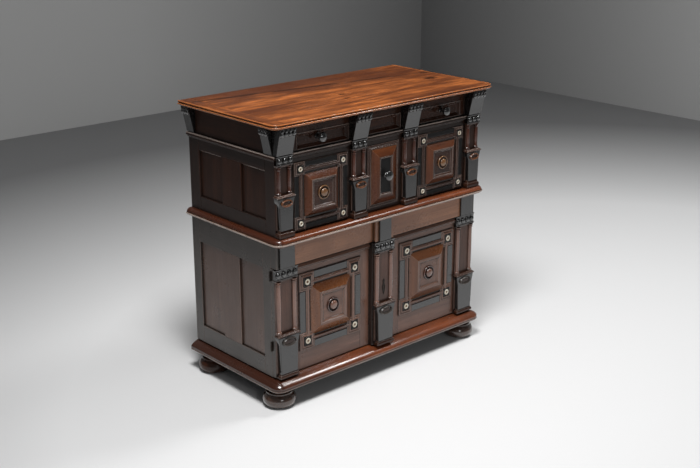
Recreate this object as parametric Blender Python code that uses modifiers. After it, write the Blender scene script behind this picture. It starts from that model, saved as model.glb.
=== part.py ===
"""Two-stage highboard: a frieze drawer and a deep drawer above a two-door cupboard, on bun feet.

X runs along the front from left to right, Y from front to back and Z up, in metres.
The origin lies on the floor, under the middle of the top board.
"""

import math

import bmesh
import bpy
from mathutils import Matrix

# Gaps
FIT = 0.0003
DRAWER_GAP = 0.003
DOOR_GAP = 0.003
HINGE_GAP = 0.001

# Heights from the floor up
FOOT_HEIGHT = 0.086
BASE_THICKNESS = 0.046
LOWER_HEIGHT = 0.573
SHELF_THICKNESS = 0.0315
UPPER_HEIGHT = 0.440
TOP_THICKNESS = 0.022
FRIEZE_HEIGHT = 0.1117
LOWER_FRIEZE_HEIGHT = 0.099

# Widths and overhangs
UPPER_WIDTH = 1.1408
LOWER_WIDTH = 1.1448
TOP_OVERHANG = 0.0471
SHELF_OVERHANG = 0.030
BASE_OVERHANG = 0.0334
CORNER_RADIUS = 0.040
CORNER_SEGMENTS = 7

# Depths
OVERALL_DEPTH = 0.634
TOP_FRONT_OVERHANG = 0.0635
STAGE_SETBACK = 0.0345
SHELF_FRONT_OVERHANG = 0.0485
BASE_FRONT_OVERHANG = 0.073
BACK_LIP = 0.0025

# Boards
SIDE_THICKNESS = 0.026
BACK_THICKNESS = 0.014
DIVIDER_THICKNESS = 0.020
POST_WIDTH = 0.084
POST_DEPTH = 0.027
GUIDE_HEIGHT = 0.016
CUPBOARD_SHELF_THICKNESS = 0.018
CUPBOARD_SHELF_RISE = 0.235
CUPBOARD_SHELF_SETBACK = 0.029
HOUSING_DEPTH = 0.006

# Side frames and panels
FRONT_STILE = 0.050
REAR_STILE = 0.039
MUNTIN = 0.1187
BOTTOM_RAIL = 0.077
TOP_RAIL = 0.110
UPPER_FRONT_STILE = 0.060
UPPER_REAR_STILE = 0.055
UPPER_MUNTIN = 0.130
UPPER_BOTTOM_RAIL = 0.060
UPPER_TOP_RAIL = 0.045
PANEL_RECESS = 0.008
PANEL_THICKNESS = 0.010
REBATE = 0.008

# String moulding
STRING_HEIGHT = 0.022
STRING_PROJECTION = 0.0135

# Edge mouldings as insets and rises, from the band at the edge inward
TOP_EDGE = ((0.0015, 0.0035), (0.004, 0.0005))
TOP_UNDER_FILLET = (0.002, 0.002)
TOP_UNDER_OVOLO = (0.010, 0.006)
SHELF_NOSE = (0.020, 0.017)
SHELF_LIP = (0.004, 0.0005)
SHELF_UNDER = (0.008, 0.006)
BASE_FILLET = (0.004, 0.001)
BASE_NOSE = (0.022, 0.026)
BASE_LIP = (0.003, 0.0005)
BASE_UNDER = (0.002, 0.002)
STRING_LIP = (0.002, 0.0015)
STRING_UNDER = ((0.0035, 0.006), (0.005, 0.008))
NOSE_STEPS = 5
UNDER_STEPS = 3

# Corbels under the top
CORBEL_WIDTH = 0.080
SIDE_CORBEL_WIDTH = 0.050
CORBEL_SHIFT = 0.003
CORBEL_FOOT = 0.023
CORBEL_HEAD = 0.047
CORBEL_BAND = 0.014
CORBEL_LIP = 0.003
SIDE_CORBEL_FOOT = 0.008
SIDE_CORBEL_HEAD = 0.030
SIDE_CORBEL_INSET = 0.0035

# Drawers
FRONT_THICKNESS = 0.022
TRAY_WALL = 0.010
TRAY_BOTTOM = 0.008
TRAY_SIDE_GAP = 0.002
TRAY_BACK_GAP = 0.030
FRIEZE_TRAY_HEADROOM = 0.0214
DEEP_TRAY_HEADROOM = 0.0383
SUNK_DEPTH = 0.008
SUNK_BEVEL = 0.013
SUNK_TOP_MARGIN = 0.040
SUNK_BOTTOM_MARGIN = 0.006
SUNK_SIDE_MARGIN = 0.026

# Pilasters: heights run from the foot of each pilaster up
CENTRE_BAY_WIDTH = 0.289
OUTER_PILASTER_INSET = 0.0364
LOWER_PILASTER_INSET = 0.0524
UPPER_PILASTER = {
    "cap_width": 0.082,
    "cap_height": 0.036,
    "cap_depth": 0.0205,
    "bosses": 3,
    "boss_pitch": 0.028,
    "boss_radius": 0.0095,
    "boss_height": 0.0109,
    "boss_depth": 0.006,
    "backing_width": 0.074,
    "backing_depth": 0.010,
    "backing_foot": 0.009,
    "column_radius": 0.009,
    "column_x": 0.026,
    "column_foot": 0.171,
    "ring_height": 0.007,
    "ring_rise": 0.002,
    "shoulder_width": 0.084,
    "console_width": 0.067,
    "console_foot_width": 0.060,
    "console_depth": 0.0265,
    "console_foot": 0.030,
    "console_top": 0.159,
    "shoulder_height": 0.038,
    "eye_width": 0.058,
    "eye_height": 0.034,
    "eye_depth": 0.006,
    "eye_drop": 0.0209,
    "plinth_width": 0.076,
    "plinth_height": 0.018,
}
LOWER_PILASTER = {
    "cap_width": 0.118,
    "cap_height": 0.046,
    "cap_depth": 0.0155,
    "bosses": 4,
    "boss_pitch": 0.0295,
    "boss_radius": 0.0105,
    "boss_height": 0.0121,
    "boss_depth": 0.005,
    "backing_width": 0.104,
    "backing_depth": 0.008,
    "backing_foot": 0.006,
    "column_radius": 0.010,
    "column_x": 0.040,
    "column_foot": 0.193,
    "ring_height": 0.008,
    "ring_rise": 0.002,
    "shoulder_width": 0.108,
    "console_width": 0.092,
    "console_foot_width": 0.084,
    "console_depth": 0.025,
    "console_foot": 0.020,
    "console_top": 0.180,
    "shoulder_height": 0.044,
    "eye_width": 0.074,
    "eye_height": 0.040,
    "eye_depth": 0.006,
    "eye_drop": 0.0242,
    "plinth_width": 0.098,
    "plinth_height": 0.012,
}
SHOULDER_CURVE = ((0.0, 0.0), (0.3, 0.33), (0.8, 0.67), (1.0, 1.0))
ASTRAGAL_THICKNESS = 0.018
ASTRAGAL_MARGIN = 0.001

# Geometric square panels: insets run from the outer edge of each panel inward
DRAWER_SQUARE = {
    "corner_size": 0.056,
    "disc_radius": 0.0115,
    "bar_inset": 0.002,
    "bar_width": 0.020,
    "frame_inset": 0.0245,
    "pocket_inset": 0.044,
    "raised_inset": 0.0515,
    "table_inset": 0.0765,
    "recess_inset": 0.0885,
    "ring_radius": 0.0295,
}
DOOR_SQUARE = {
    "corner_size": 0.078,
    "disc_radius": 0.013,
    "bar_inset": 0.003,
    "bar_width": 0.024,
    "frame_inset": 0.030,
    "pocket_inset": 0.056,
    "raised_inset": 0.063,
    "table_inset": 0.094,
    "recess_inset": 0.113,
    "ring_radius": 0.0325,
}
SQUARE_GAP = 0.011
SQUARE_END_MARGIN = 0.0059
SQUARE_BOTTOM_MARGIN = 0.0056
SQUARE_TOP_MARGIN = 0.017
DOOR_STILE = 0.0545
DOOR_SQUARE_GAP = 0.0105
DOOR_BOTTOM_MARGIN = 0.083
DOOR_TOP_MARGIN = 0.0486
SQUARE_THICKNESS = 0.004
BAR_HEIGHT = 0.0075
BAR_BEVEL = 0.0015
FRAME_HEIGHT = 0.0115
FRAME_BEVEL = 0.008
POCKET_HEIGHT = 0.0052
POCKET_BEVEL = 0.005
CORNER_INSET = 0.0006
CORNER_STEP_HEIGHT = 0.0095
CORNER_STEP_BEVEL = 0.006
CORNER_HEIGHT = 0.0130
CORNER_BEVEL = 0.003
DISC_HEIGHT = 0.0015
RAISED_HEIGHT = 0.0185
RECESS_DEPTH = 0.007
RECESS_BEVEL = 0.003
RING_HEIGHT = 0.0105
RING_CURVE = (
    (0.0, 0.0035),
    (0.30, 0.0040),
    (0.52, 0.0070),
    (0.62, 0.0070),
    (0.72, 0.0010),
    (0.82, 0.0),
    (0.93, 0.0020),
    (1.0, 0.0060),
)

# Tall panel in the middle of the deep drawer
CENTRE_PANEL_GAP = 0.022
CENTRE_BOTTOM_MARGIN = 0.027
CENTRE_TOP_MARGIN = 0.0286
CENTRE_STEP = 0.006
CENTRE_BEVEL_ACROSS = 0.044
CENTRE_BEVEL_UP = 0.0405
CENTRE_FOOT = 0.010
CENTRE_DEPTH = 0.0245
CENTRE_RECESS_MARGIN = 0.008
CENTRE_RECESS = 0.004

# Lower frieze blocks
BOARD_PROJECTION = 0.0365
BLOCK_WIDTH = 0.0764
BLOCK_PROUD = 0.008
CENTRE_STRIP_WIDTH = 0.104
CENTRE_STRIP_PROUD = 0.014
CENTRE_BLOCK_WIDTH = 0.066
CENTRE_BLOCK_PROUD = 0.009

# Doors and their iron
DOOR_THICKNESS = 0.020
HINGE_HEIGHT = 0.040
HINGE_LEAF_WIDTH = 0.022
HINGE_LEAF_THICKNESS = 0.0012
KNUCKLE_RADIUS = 0.0042
PIN_RADIUS = 0.0020
PIN_CLEARANCE = 0.0004
UPPER_HINGE_DROP = 0.0115
LOWER_HINGE_RISE = 0.1145
LOCK_WIDTH = 0.080
LOCK_HEIGHT = 0.080
LOCK_DEPTH = 0.019
LOCK_WALL = 0.004
LOCK_RISE = 0.225
BOLT_HEIGHT = 0.018
BOLT_DEPTH = 0.009
BOLT_LENGTH = 0.060
BOLT_GAP = 0.0004
KEYHOLE_RISE = 0.259
KEYHOLE_RADIUS = 0.0035
KEYHOLE_SLOT_WIDTH = 0.004
KEYHOLE_SLOT_HEIGHT = 0.011
ESCUTCHEON_WIDTH = 0.018
ESCUTCHEON_HEIGHT = 0.074
ESCUTCHEON_THICKNESS = 0.0015
ESCUTCHEON_CURVE = (
    (0.30, -0.72),
    (0.75, -0.45),
    (1.0, -0.15),
    (1.0, 0.10),
    (0.40, 0.35),
    (0.40, 0.55),
    (0.70, 0.70),
)

# Knobs and feet, with their turned curves as shares of radius and length
FRIEZE_KNOB_INSET = 0.1359
FRIEZE_KNOB_RISE = 0.042
FRIEZE_KNOB_RADIUS = 0.020
FRIEZE_KNOB_LENGTH = 0.049
DEEP_KNOB_RISE = 0.0025
DEEP_KNOB_RADIUS = 0.021
DEEP_KNOB_LENGTH = 0.030
KNOB_CURVE = (
    (0.0, 1.0),
    (0.30, 0.98),
    (0.62, 0.95),
    (0.90, 0.84),
    (1.0, 0.70),
    (0.94, 0.56),
    (0.66, 0.53),
    (0.42, 0.43),
    (0.42, 0.16),
    (0.50, 0.10),
    (0.50, 0.0),
    (0.0, 0.0),
)
FOOT_NECK_RADIUS = 0.0437
FOOT_NECK_HEIGHT = 0.0086
FOOT_FILLET = 0.0028
FOOT_CORE = 0.0388
FOOT_ROUND = 0.0317
FOOT_TOP_ANGLE = math.radians(50)
FOOT_SOLE_ANGLE = math.radians(-60)
FOOT_STEPS = 5
FOOT_INSET_SIDE = 0.069
FOOT_INSET_FRONT = 0.078
FOOT_INSET_BACK = 0.080

# How far rounded work is let into the wood behind it
SINK = 0.0008

# Roundness of turned and rounded pieces
TURN_STEPS = 18
COLUMN_SIDES = 12
DISC_SIDES = 10
HINGE_SIDES = 10
BOSS_SIDES = 8
BOSS_RINGS = 6
ROUND_BEVEL = 0.5
SMOOTH_ANGLE = math.radians(35)
WELD = 0.00001

# Levels and planes worked out from the sizes above
base_z0 = FOOT_HEIGHT + FIT
base_z1 = base_z0 + BASE_THICKNESS
lower_z0 = base_z1 + FIT
lower_z1 = lower_z0 + LOWER_HEIGHT
shelf_z0 = lower_z1 + FIT
shelf_z1 = shelf_z0 + SHELF_THICKNESS
upper_z0 = shelf_z1 + FIT
upper_z1 = upper_z0 + UPPER_HEIGHT
top_z0 = upper_z1 + FIT
top_z1 = top_z0 + TOP_THICKNESS
string_z1 = upper_z1 - FRIEZE_HEIGHT
string_z0 = string_z1 - STRING_HEIGHT

upper_x = UPPER_WIDTH / 2
lower_x = LOWER_WIDTH / 2
upper_inner_x = upper_x - SIDE_THICKNESS
lower_inner_x = lower_x - SIDE_THICKNESS
post_inner_x = upper_x - POST_WIDTH
inner_pilaster_x = CENTRE_BAY_WIDTH / 2
outer_pilaster_x = upper_x - OUTER_PILASTER_INSET
lower_pilaster_x = lower_x - LOWER_PILASTER_INSET
outer_corbel_x = outer_pilaster_x + CORBEL_SHIFT
sill_half = (UPPER_PILASTER["shoulder_width"] + UPPER_PILASTER["ring_height"]) / 2
back_y = OVERALL_DEPTH / 2
top_front_y = -OVERALL_DEPTH / 2
upper_front_y = top_front_y + TOP_FRONT_OVERHANG
lower_front_y = upper_front_y + STAGE_SETBACK
shelf_front_y = upper_front_y - SHELF_FRONT_OVERHANG
base_front_y = lower_front_y - BASE_FRONT_OVERHANG
back_board_y1 = back_y - BACK_LIP
back_board_y0 = back_board_y1 - BACK_THICKNESS
side_back_y = back_board_y0 - FIT

front_half = post_inner_x - DRAWER_GAP / 2
frieze_z0 = string_z1 + DRAWER_GAP
frieze_z1 = upper_z1 - DRAWER_GAP
deep_z0 = shelf_z1 + DRAWER_GAP
deep_z1 = string_z0 - DRAWER_GAP
drawer_back_y = upper_front_y + FRONT_THICKNESS

lower_frieze_z0 = lower_z1 - LOWER_FRIEZE_HEIGHT
door_z0 = lower_z0 + DOOR_GAP
door_z1 = lower_frieze_z0 - DOOR_GAP
door_back_y = lower_front_y - HINGE_GAP
door_front_y = door_back_y - DOOR_THICKNESS
astragal_half = LOWER_PILASTER["cap_width"] / 2 + ASTRAGAL_MARGIN
meeting_x = -astragal_half
hinge_x = lower_x + KNUCKLE_RADIUS + FIT
hinge_y = (lower_front_y + door_back_y) / 2

# Permutations that lay an outline drawn in X and Y on another plane
ALONG_X = Matrix(((0, 0, 1, 0), (1, 0, 0, 0), (0, 1, 0, 0), (0, 0, 0, 1)))
ALONG_Y = Matrix(((1, 0, 0, 0), (0, 0, -1, 0), (0, 1, 0, 0), (0, 0, 0, 1)))
FACING_FRONT = Matrix.Rotation(math.pi / 2, 4, "X")


def clear_scene():
    for obj in list(bpy.data.objects):
        bpy.data.objects.remove(obj, do_unlink=True)


def new_collection(name):
    collection = bpy.data.collections.new(name)
    bpy.context.scene.collection.children.link(collection)
    return collection


clear_scene()
PARTS = new_collection("Highboard")
CUTTERS = new_collection("Cutters")
CUTTERS.hide_render = True


def principled(name, colour, roughness, metallic=0.0):
    material = bpy.data.materials.new(name)
    material.use_nodes = True
    shader = material.node_tree.nodes["Principled BSDF"]
    shader.inputs["Base Color"].default_value = (*colour, 1.0)
    shader.inputs["Roughness"].default_value = roughness
    shader.inputs["Metallic"].default_value = metallic
    return material


TOP_WOOD = principled("Top walnut", (0.28, 0.11, 0.045), 0.38)
DARK_WOOD = principled("Dark carcass wood", (0.045, 0.024, 0.017), 0.45)
RED_WOOD = principled("Reddish walnut", (0.11, 0.042, 0.022), 0.38)
EBONY = principled("Ebonised wood", (0.012, 0.011, 0.011), 0.22)
INNER_WOOD = principled("Plain inner wood", (0.20, 0.11, 0.055), 0.65)
IRON = principled("Old iron", (0.035, 0.032, 0.030), 0.50, 0.9)


def empty(name, location):
    obj = bpy.data.objects.new(name, None)
    obj.location = location
    PARTS.objects.link(obj)
    return obj


BODIES = {
    "carcass": empty("carcass_frame", (0, 0, 0)),
    "frieze_drawer": empty("frieze_drawer_slide", (0, upper_front_y, frieze_z0)),
    "deep_drawer": empty("deep_drawer_slide", (0, upper_front_y, deep_z0)),
    "left_door": empty("left_door_axis", (-hinge_x, hinge_y, door_z0)),
    "right_door": empty("right_door_axis", (hinge_x, hinge_y, door_z0)),
}


def place(name, mesh, material, body, location=(0, 0, 0)):
    """Adds a mesh to the part at a place in the world, carried by a body's empty."""
    obj = bpy.data.objects.new(name, mesh)
    PARTS.objects.link(obj)
    if mesh.materials:
        mesh.materials[0] = material
    else:
        mesh.materials.append(material)
    carrier = BODIES[body]
    obj.parent = carrier
    obj.location = [a - b for a, b in zip(location, carrier.location)]
    return obj


def mesh_of(name, bm):
    bmesh.ops.recalc_face_normals(bm, faces=bm.faces)
    mesh = bpy.data.meshes.new(name)
    bm.to_mesh(mesh)
    bm.free()
    return mesh


def box_mesh(name, lo, hi):
    size = [b - a for a, b in zip(lo, hi)]
    middle = [(a + b) / 2 for a, b in zip(lo, hi)]
    bm = bmesh.new()
    scale = Matrix.Diagonal((*size, 1.0))
    bmesh.ops.create_cube(bm, size=1.0, matrix=Matrix.Translation(middle) @ scale)
    return mesh_of(name, bm)


def board(name, lo, hi, material, body):
    """A plain board between two corners given in the world."""
    middle = [(a + b) / 2 for a, b in zip(lo, hi)]
    local_lo = [a - m for a, m in zip(lo, middle)]
    local_hi = [b - m for b, m in zip(hi, middle)]
    return place(name, box_mesh(name, local_lo, local_hi), material, body, middle)


def cut(obj, mesh, location=(0, 0, 0)):
    """Cuts a mesh out of a placed piece. The mesh is given in the world, from a location."""
    cutter = bpy.data.objects.new("cutter_" + obj.name, mesh)
    CUTTERS.objects.link(cutter)
    cutter.location = location
    cutter.hide_render = True
    cutter.display_type = "WIRE"
    modifier = obj.modifiers.new("Cut", "BOOLEAN")
    modifier.operation = "DIFFERENCE"
    modifier.solver = "EXACT"
    modifier.object = cutter


def cut_box(obj, lo, hi):
    cut(obj, box_mesh("cutter", lo, hi))


def evaluated_mesh(obj, name):
    """The object's mesh with its modifiers applied, after which the object is removed."""
    bpy.context.view_layer.update()
    graph = bpy.context.evaluated_depsgraph_get()
    mesh = bpy.data.meshes.new_from_object(obj.evaluated_get(graph))
    mesh.name = name
    bpy.data.objects.remove(obj, do_unlink=True)
    return mesh


def scratch(mesh_or_curve):
    obj = bpy.data.objects.new("scratch", mesh_or_curve)
    CUTTERS.objects.link(obj)
    return obj


def union(name, meshes):
    """Joins overlapping meshes into one closed body."""
    objects = [scratch(mesh) for mesh in meshes]
    whole = objects[0]
    for other in objects[1:]:
        modifier = whole.modifiers.new("Join", "BOOLEAN")
        modifier.operation = "UNION"
        modifier.solver = "EXACT"
        modifier.object = other
    joined = evaluated_mesh(whole, name)
    for other in objects[1:]:
        bpy.data.objects.remove(other, do_unlink=True)
    return joined


def subtract(mesh, tools):
    """Takes meshes out of a mesh, and gives one closed body."""
    whole = scratch(mesh)
    cutters = [scratch(tool) for tool in tools]
    for cutter in cutters:
        modifier = whole.modifiers.new("Cut", "BOOLEAN")
        modifier.operation = "DIFFERENCE"
        modifier.solver = "EXACT"
        modifier.object = cutter
    result = evaluated_mesh(whole, mesh.name)
    for cutter in cutters:
        bpy.data.objects.remove(cutter, do_unlink=True)
    return result


def outline_mesh(name, points, thickness, lay=None):
    """A flat outline, extruded half its thickness each way, laid on the plane that lay gives."""
    curve = bpy.data.curves.new(name, "CURVE")
    curve.dimensions = "2D"
    curve.fill_mode = "BOTH"
    curve.extrude = thickness / 2
    spline = curve.splines.new("POLY")
    spline.points.add(len(points) - 1)
    for point, (u, v) in zip(spline.points, points):
        point.co = (u, v, 0.0, 1.0)
    spline.use_cyclic_u = True
    mesh = evaluated_mesh(scratch(curve), name)
    bm = bmesh.new()
    bm.from_mesh(mesh)
    bmesh.ops.remove_doubles(bm, verts=bm.verts, dist=WELD)
    if lay is not None:
        bmesh.ops.transform(bm, matrix=lay, verts=bm.verts)
    bpy.data.meshes.remove(mesh)
    return mesh_of(name, bm)


def turned_mesh(name, profile, lay=None):
    """A turned piece. The profile lists radius and height from the top of the axis to its foot."""
    mesh = bpy.data.meshes.new(name)
    points = [(radius, 0.0, height) for radius, height in profile]
    mesh.from_pydata(points, [(i, i + 1) for i in range(len(points) - 1)], [])
    obj = scratch(mesh)
    screw = obj.modifiers.new("Turn", "SCREW")
    screw.steps = TURN_STEPS
    screw.render_steps = TURN_STEPS
    screw.use_merge_vertices = True
    screw.merge_threshold = WELD
    turned = evaluated_mesh(obj, name)
    if lay is not None:
        turned.transform(lay)
    turned.shade_smooth()
    turned.set_sharp_from_angle(angle=SMOOTH_ANGLE)
    return turned


def cylinder_mesh(name, radius, z0, z1, x=0.0, y=0.0, sides=COLUMN_SIDES):
    bm = bmesh.new()
    spot = Matrix.Translation((x, y, (z0 + z1) / 2))
    bmesh.ops.create_cone(
        bm, cap_ends=True, segments=sides, radius1=radius, radius2=radius, depth=z1 - z0, matrix=spot
    )
    return mesh_of(name, bm)


def egg_mesh(name, centre, radii):
    bm = bmesh.new()
    shape = Matrix.Translation(centre) @ Matrix.Diagonal((*radii, 1.0))
    bmesh.ops.create_uvsphere(bm, u_segments=BOSS_SIDES, v_segments=BOSS_RINGS, radius=1.0, matrix=shape)
    return mesh_of(name, bm)


def frustum_mesh(name, foot, head, y_foot, y_head, middle=(0, 0)):
    """A block between a foot rectangle and a head rectangle, given as half width and half height."""
    bm = bmesh.new()
    bmesh.ops.create_cube(bm, size=2.0)
    for vert in bm.verts:
        half = foot if vert.co.y > 0 else head
        y = y_foot if vert.co.y > 0 else y_head
        vert.co = (middle[0] + vert.co.x * half[0], y, middle[1] + vert.co.z * half[1])
    return mesh_of(name, bm)


def ovolo_steps(run, rise, count):
    """Insets and rises of a quarter round, from its outer edge inward and up."""
    angles = [math.pi / 2 * k / count for k in range(count + 1)]
    insets = [run * (1 - math.cos(a)) for a in angles]
    rises = [rise * math.sin(a) for a in angles]
    return [(insets[k + 1] - insets[k], rises[k + 1] - rises[k]) for k in range(count)]


def moulded_board(name, half_width, front_y, z0, z1, upper, lower, material, radius=CORNER_RADIUS):
    """A board with round front corners and a moulding worked on its front and ends."""
    spare = sum(inset for inset, rise in upper + lower) + radius
    band_z0 = z0 + sum(rise for inset, rise in lower)
    band_z1 = z1 - sum(rise for inset, rise in upper)
    size = Matrix.Diagonal((2 * half_width, back_y + spare - front_y, band_z1 - band_z0, 1.0))
    middle = Matrix.Translation((0, (front_y + back_y + spare) / 2, (band_z0 + band_z1) / 2))
    bm = bmesh.new()
    bmesh.ops.create_cube(bm, size=1.0, matrix=middle @ size)
    if radius > 0:
        upright = [
            edge
            for edge in bm.edges
            if all(abs(vert.co.y - front_y) < FIT for vert in edge.verts)
            and abs(edge.verts[0].co.x - edge.verts[1].co.x) < FIT
        ]
        bmesh.ops.bevel(
            bm, geom=upright, offset=radius, segments=CORNER_SEGMENTS, profile=ROUND_BEVEL, affect="EDGES"
        )
    for direction, steps in ((1, upper), (-1, lower)):
        bm.normal_update()
        face = max(bm.faces, key=lambda f: f.normal.z * direction * f.calc_area())
        for inset, rise in steps:
            bmesh.ops.inset_region(bm, faces=[face], thickness=inset, depth=rise, use_even_offset=True)
    everything = bm.verts[:] + bm.edges[:] + bm.faces[:]
    sawn = bmesh.ops.bisect_plane(
        bm, geom=everything, plane_co=(0, back_y, 0), plane_no=(0, 1, 0), clear_outer=True
    )
    rim = [item for item in sawn["geom_cut"] if isinstance(item, bmesh.types.BMEdge)]
    bmesh.ops.edgeloop_fill(bm, edges=rim)
    return place(name, mesh_of(name, bm), material, "carcass")


def make_top():
    edge = list(TOP_EDGE)
    under = [TOP_UNDER_FILLET] + ovolo_steps(*TOP_UNDER_OVOLO, UNDER_STEPS)
    moulded_board("top_board", upper_x + TOP_OVERHANG, top_front_y, top_z0, top_z1, edge, under, TOP_WOOD)


def make_mid_shelf():
    nose = ovolo_steps(*SHELF_NOSE, NOSE_STEPS) + [SHELF_LIP]
    under = ovolo_steps(*SHELF_UNDER, UNDER_STEPS)
    half = max(upper_x, lower_x) + SHELF_OVERHANG - (LOWER_WIDTH - UPPER_WIDTH) / 2
    moulded_board("mid_shelf", half, shelf_front_y, shelf_z0, shelf_z1, nose, under, RED_WOOD)


def make_base():
    nose = [BASE_FILLET] + ovolo_steps(*BASE_NOSE, NOSE_STEPS) + [BASE_LIP]
    half = lower_x + BASE_OVERHANG
    moulded_board("base_plinth", half, base_front_y, base_z0, base_z1, nose, [BASE_UNDER], RED_WOOD)


def make_string_moulding():
    """A small moulding mitred round the front and sides, under the frieze."""
    lip = [STRING_LIP]
    under = list(STRING_UNDER)
    obj = moulded_board(
        "string_moulding",
        upper_x + FIT + STRING_PROJECTION,
        upper_front_y - FIT - STRING_PROJECTION,
        string_z0,
        string_z1,
        lip,
        under,
        DARK_WOOD,
        radius=0.0,
    )
    over = STRING_HEIGHT
    inner = upper_x + FIT
    cut_box(obj, (-inner, upper_front_y - FIT, string_z0 - over), (inner, back_y + over, string_z1 + over))
    outer = upper_x + STRING_PROJECTION + over
    cut_box(obj, (-outer, back_board_y1, string_z0 - over), (outer, back_y + over, string_z1 + over))


def make_feet():
    """Turned bun feet: a short neck over a flattened swell with a flat sole."""
    neck_z = FOOT_HEIGHT - FOOT_NECK_HEIGHT
    swell_height = neck_z - FOOT_FILLET
    swell = swell_height / (math.sin(FOOT_TOP_ANGLE) - math.sin(FOOT_SOLE_ANGLE))
    profile = [(0.0, FOOT_HEIGHT), (FOOT_NECK_RADIUS, FOOT_HEIGHT), (FOOT_NECK_RADIUS, neck_z)]
    turn = (FOOT_SOLE_ANGLE - FOOT_TOP_ANGLE) / FOOT_STEPS
    for k in range(FOOT_STEPS + 1):
        angle = FOOT_TOP_ANGLE + turn * k
        height = swell * (math.sin(angle) - math.sin(FOOT_SOLE_ANGLE))
        profile.append((FOOT_CORE + FOOT_ROUND * math.cos(angle), height))
    profile.append((0.0, profile[-1][1]))
    mesh = turned_mesh("bun_foot", profile)
    half = lower_x + BASE_OVERHANG - FOOT_INSET_SIDE
    rows = (("front", base_front_y + FOOT_INSET_FRONT), ("rear", back_y - FOOT_INSET_BACK))
    for row, y in rows:
        for side, x in (("left", -half), ("right", half)):
            place(f"{row}_{side}_foot", mesh, EBONY, "carcass", (x, y, 0))


def make_lower_sides():
    """Framed sides: stiles, rails and a muntin round two panels set in rebates."""
    opening_z0 = lower_z0 + BOTTOM_RAIL
    opening_z1 = lower_z1 - TOP_RAIL
    first = lower_front_y + FRONT_STILE
    last = side_back_y - REAR_STILE
    width = (last - first - MUNTIN) / 2
    panels = (("front", first, first + width), ("rear", last - width, last))
    panel_out = lower_x - PANEL_RECESS
    shelf_z = lower_z0 + CUPBOARD_SHELF_RISE
    for side, sign in (("left", -1), ("right", 1)):
        x0, x1 = sorted((sign * lower_inner_x, sign * lower_x))
        name = f"lower_{side}_frame"
        frame = board(name, (x0, lower_front_y, lower_z0), (x1, side_back_y, lower_z1), DARK_WOOD, "carcass")
        housing = sorted((sign * (lower_inner_x - REBATE), sign * (lower_inner_x + HOUSING_DEPTH)))
        cut_box(
            frame,
            (housing[0], lower_front_y + CUPBOARD_SHELF_SETBACK - FIT, shelf_z - FIT),
            (housing[1], side_back_y + REBATE, shelf_z + CUPBOARD_SHELF_THICKNESS + FIT),
        )
        for place_name, y0, y1 in panels:
            through = sorted((sign * (lower_inner_x - REBATE), sign * (lower_x + REBATE)))
            cut_box(frame, (through[0], y0, opening_z0), (through[1], y1, opening_z1))
            seat = sorted((sign * (lower_inner_x - REBATE), sign * (panel_out + FIT)))
            cut_box(
                frame,
                (seat[0], y0 - REBATE, opening_z0 - REBATE),
                (seat[1], y1 + REBATE, opening_z1 + REBATE),
            )
            edge = REBATE - FIT
            faces = sorted((sign * panel_out, sign * (panel_out - PANEL_THICKNESS)))
            board(
                f"lower_{side}_{place_name}_panel",
                (faces[0], y0 - edge, opening_z0 - edge),
                (faces[1], y1 + edge, opening_z1 + edge),
                DARK_WOOD,
                "carcass",
            )
        leaf = HINGE_LEAF_THICKNESS + FIT
        for z0 in hinge_levels():
            pocket = sorted((sign * (lower_x - HINGE_LEAF_WIDTH - FIT), sign * (lower_x + REBATE)))
            cut_box(
                frame,
                (pocket[0], lower_front_y - REBATE, z0 - FIT),
                (pocket[1], lower_front_y + leaf, z0 + HINGE_HEIGHT + FIT),
            )


def make_upper_sides():
    """Sides of the upper stage, each with a corner post, two sunk panels and drawer guides."""
    sunk_z0 = upper_z0 + UPPER_BOTTOM_RAIL
    sunk_z1 = string_z0 - UPPER_TOP_RAIL
    first = upper_front_y + UPPER_FRONT_STILE
    last = side_back_y - UPPER_REAR_STILE
    width = (last - first - UPPER_MUNTIN) / 2
    post_y = upper_front_y + POST_DEPTH
    guide_x = front_half - TRAY_SIDE_GAP / 2
    guide_y = (drawer_back_y + post_y) / 2
    for side, sign in (("left", -1), ("right", 1)):
        plan = [
            (sign * upper_x, upper_front_y),
            (sign * upper_x, side_back_y),
            (sign * upper_inner_x, side_back_y),
            (sign * upper_inner_x, post_y),
            (sign * post_inner_x, post_y),
            (sign * post_inner_x, upper_front_y),
        ]
        middle = Matrix.Translation((0, 0, (upper_z0 + upper_z1) / 2))
        pieces = [outline_mesh("corner", plan, UPPER_HEIGHT, middle)]
        for floor_z in (upper_z0, string_z1 + FIT):
            x0, x1 = sorted((sign * guide_x, sign * (upper_inner_x + REBATE)))
            lo = (x0, guide_y, floor_z)
            hi = (x1, side_back_y - REBATE, floor_z + GUIDE_HEIGHT)
            pieces.append(box_mesh("guide", lo, hi))
        obj = place(f"upper_{side}_side", union("side", pieces), DARK_WOOD, "carcass")
        for y0, y1 in ((first, first + width), (last - width, last)):
            depth = sorted((sign * (upper_x - PANEL_RECESS), sign * (upper_x + REBATE)))
            cut_box(obj, (depth[0], y0, sunk_z0), (depth[1], y1, sunk_z1))


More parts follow.
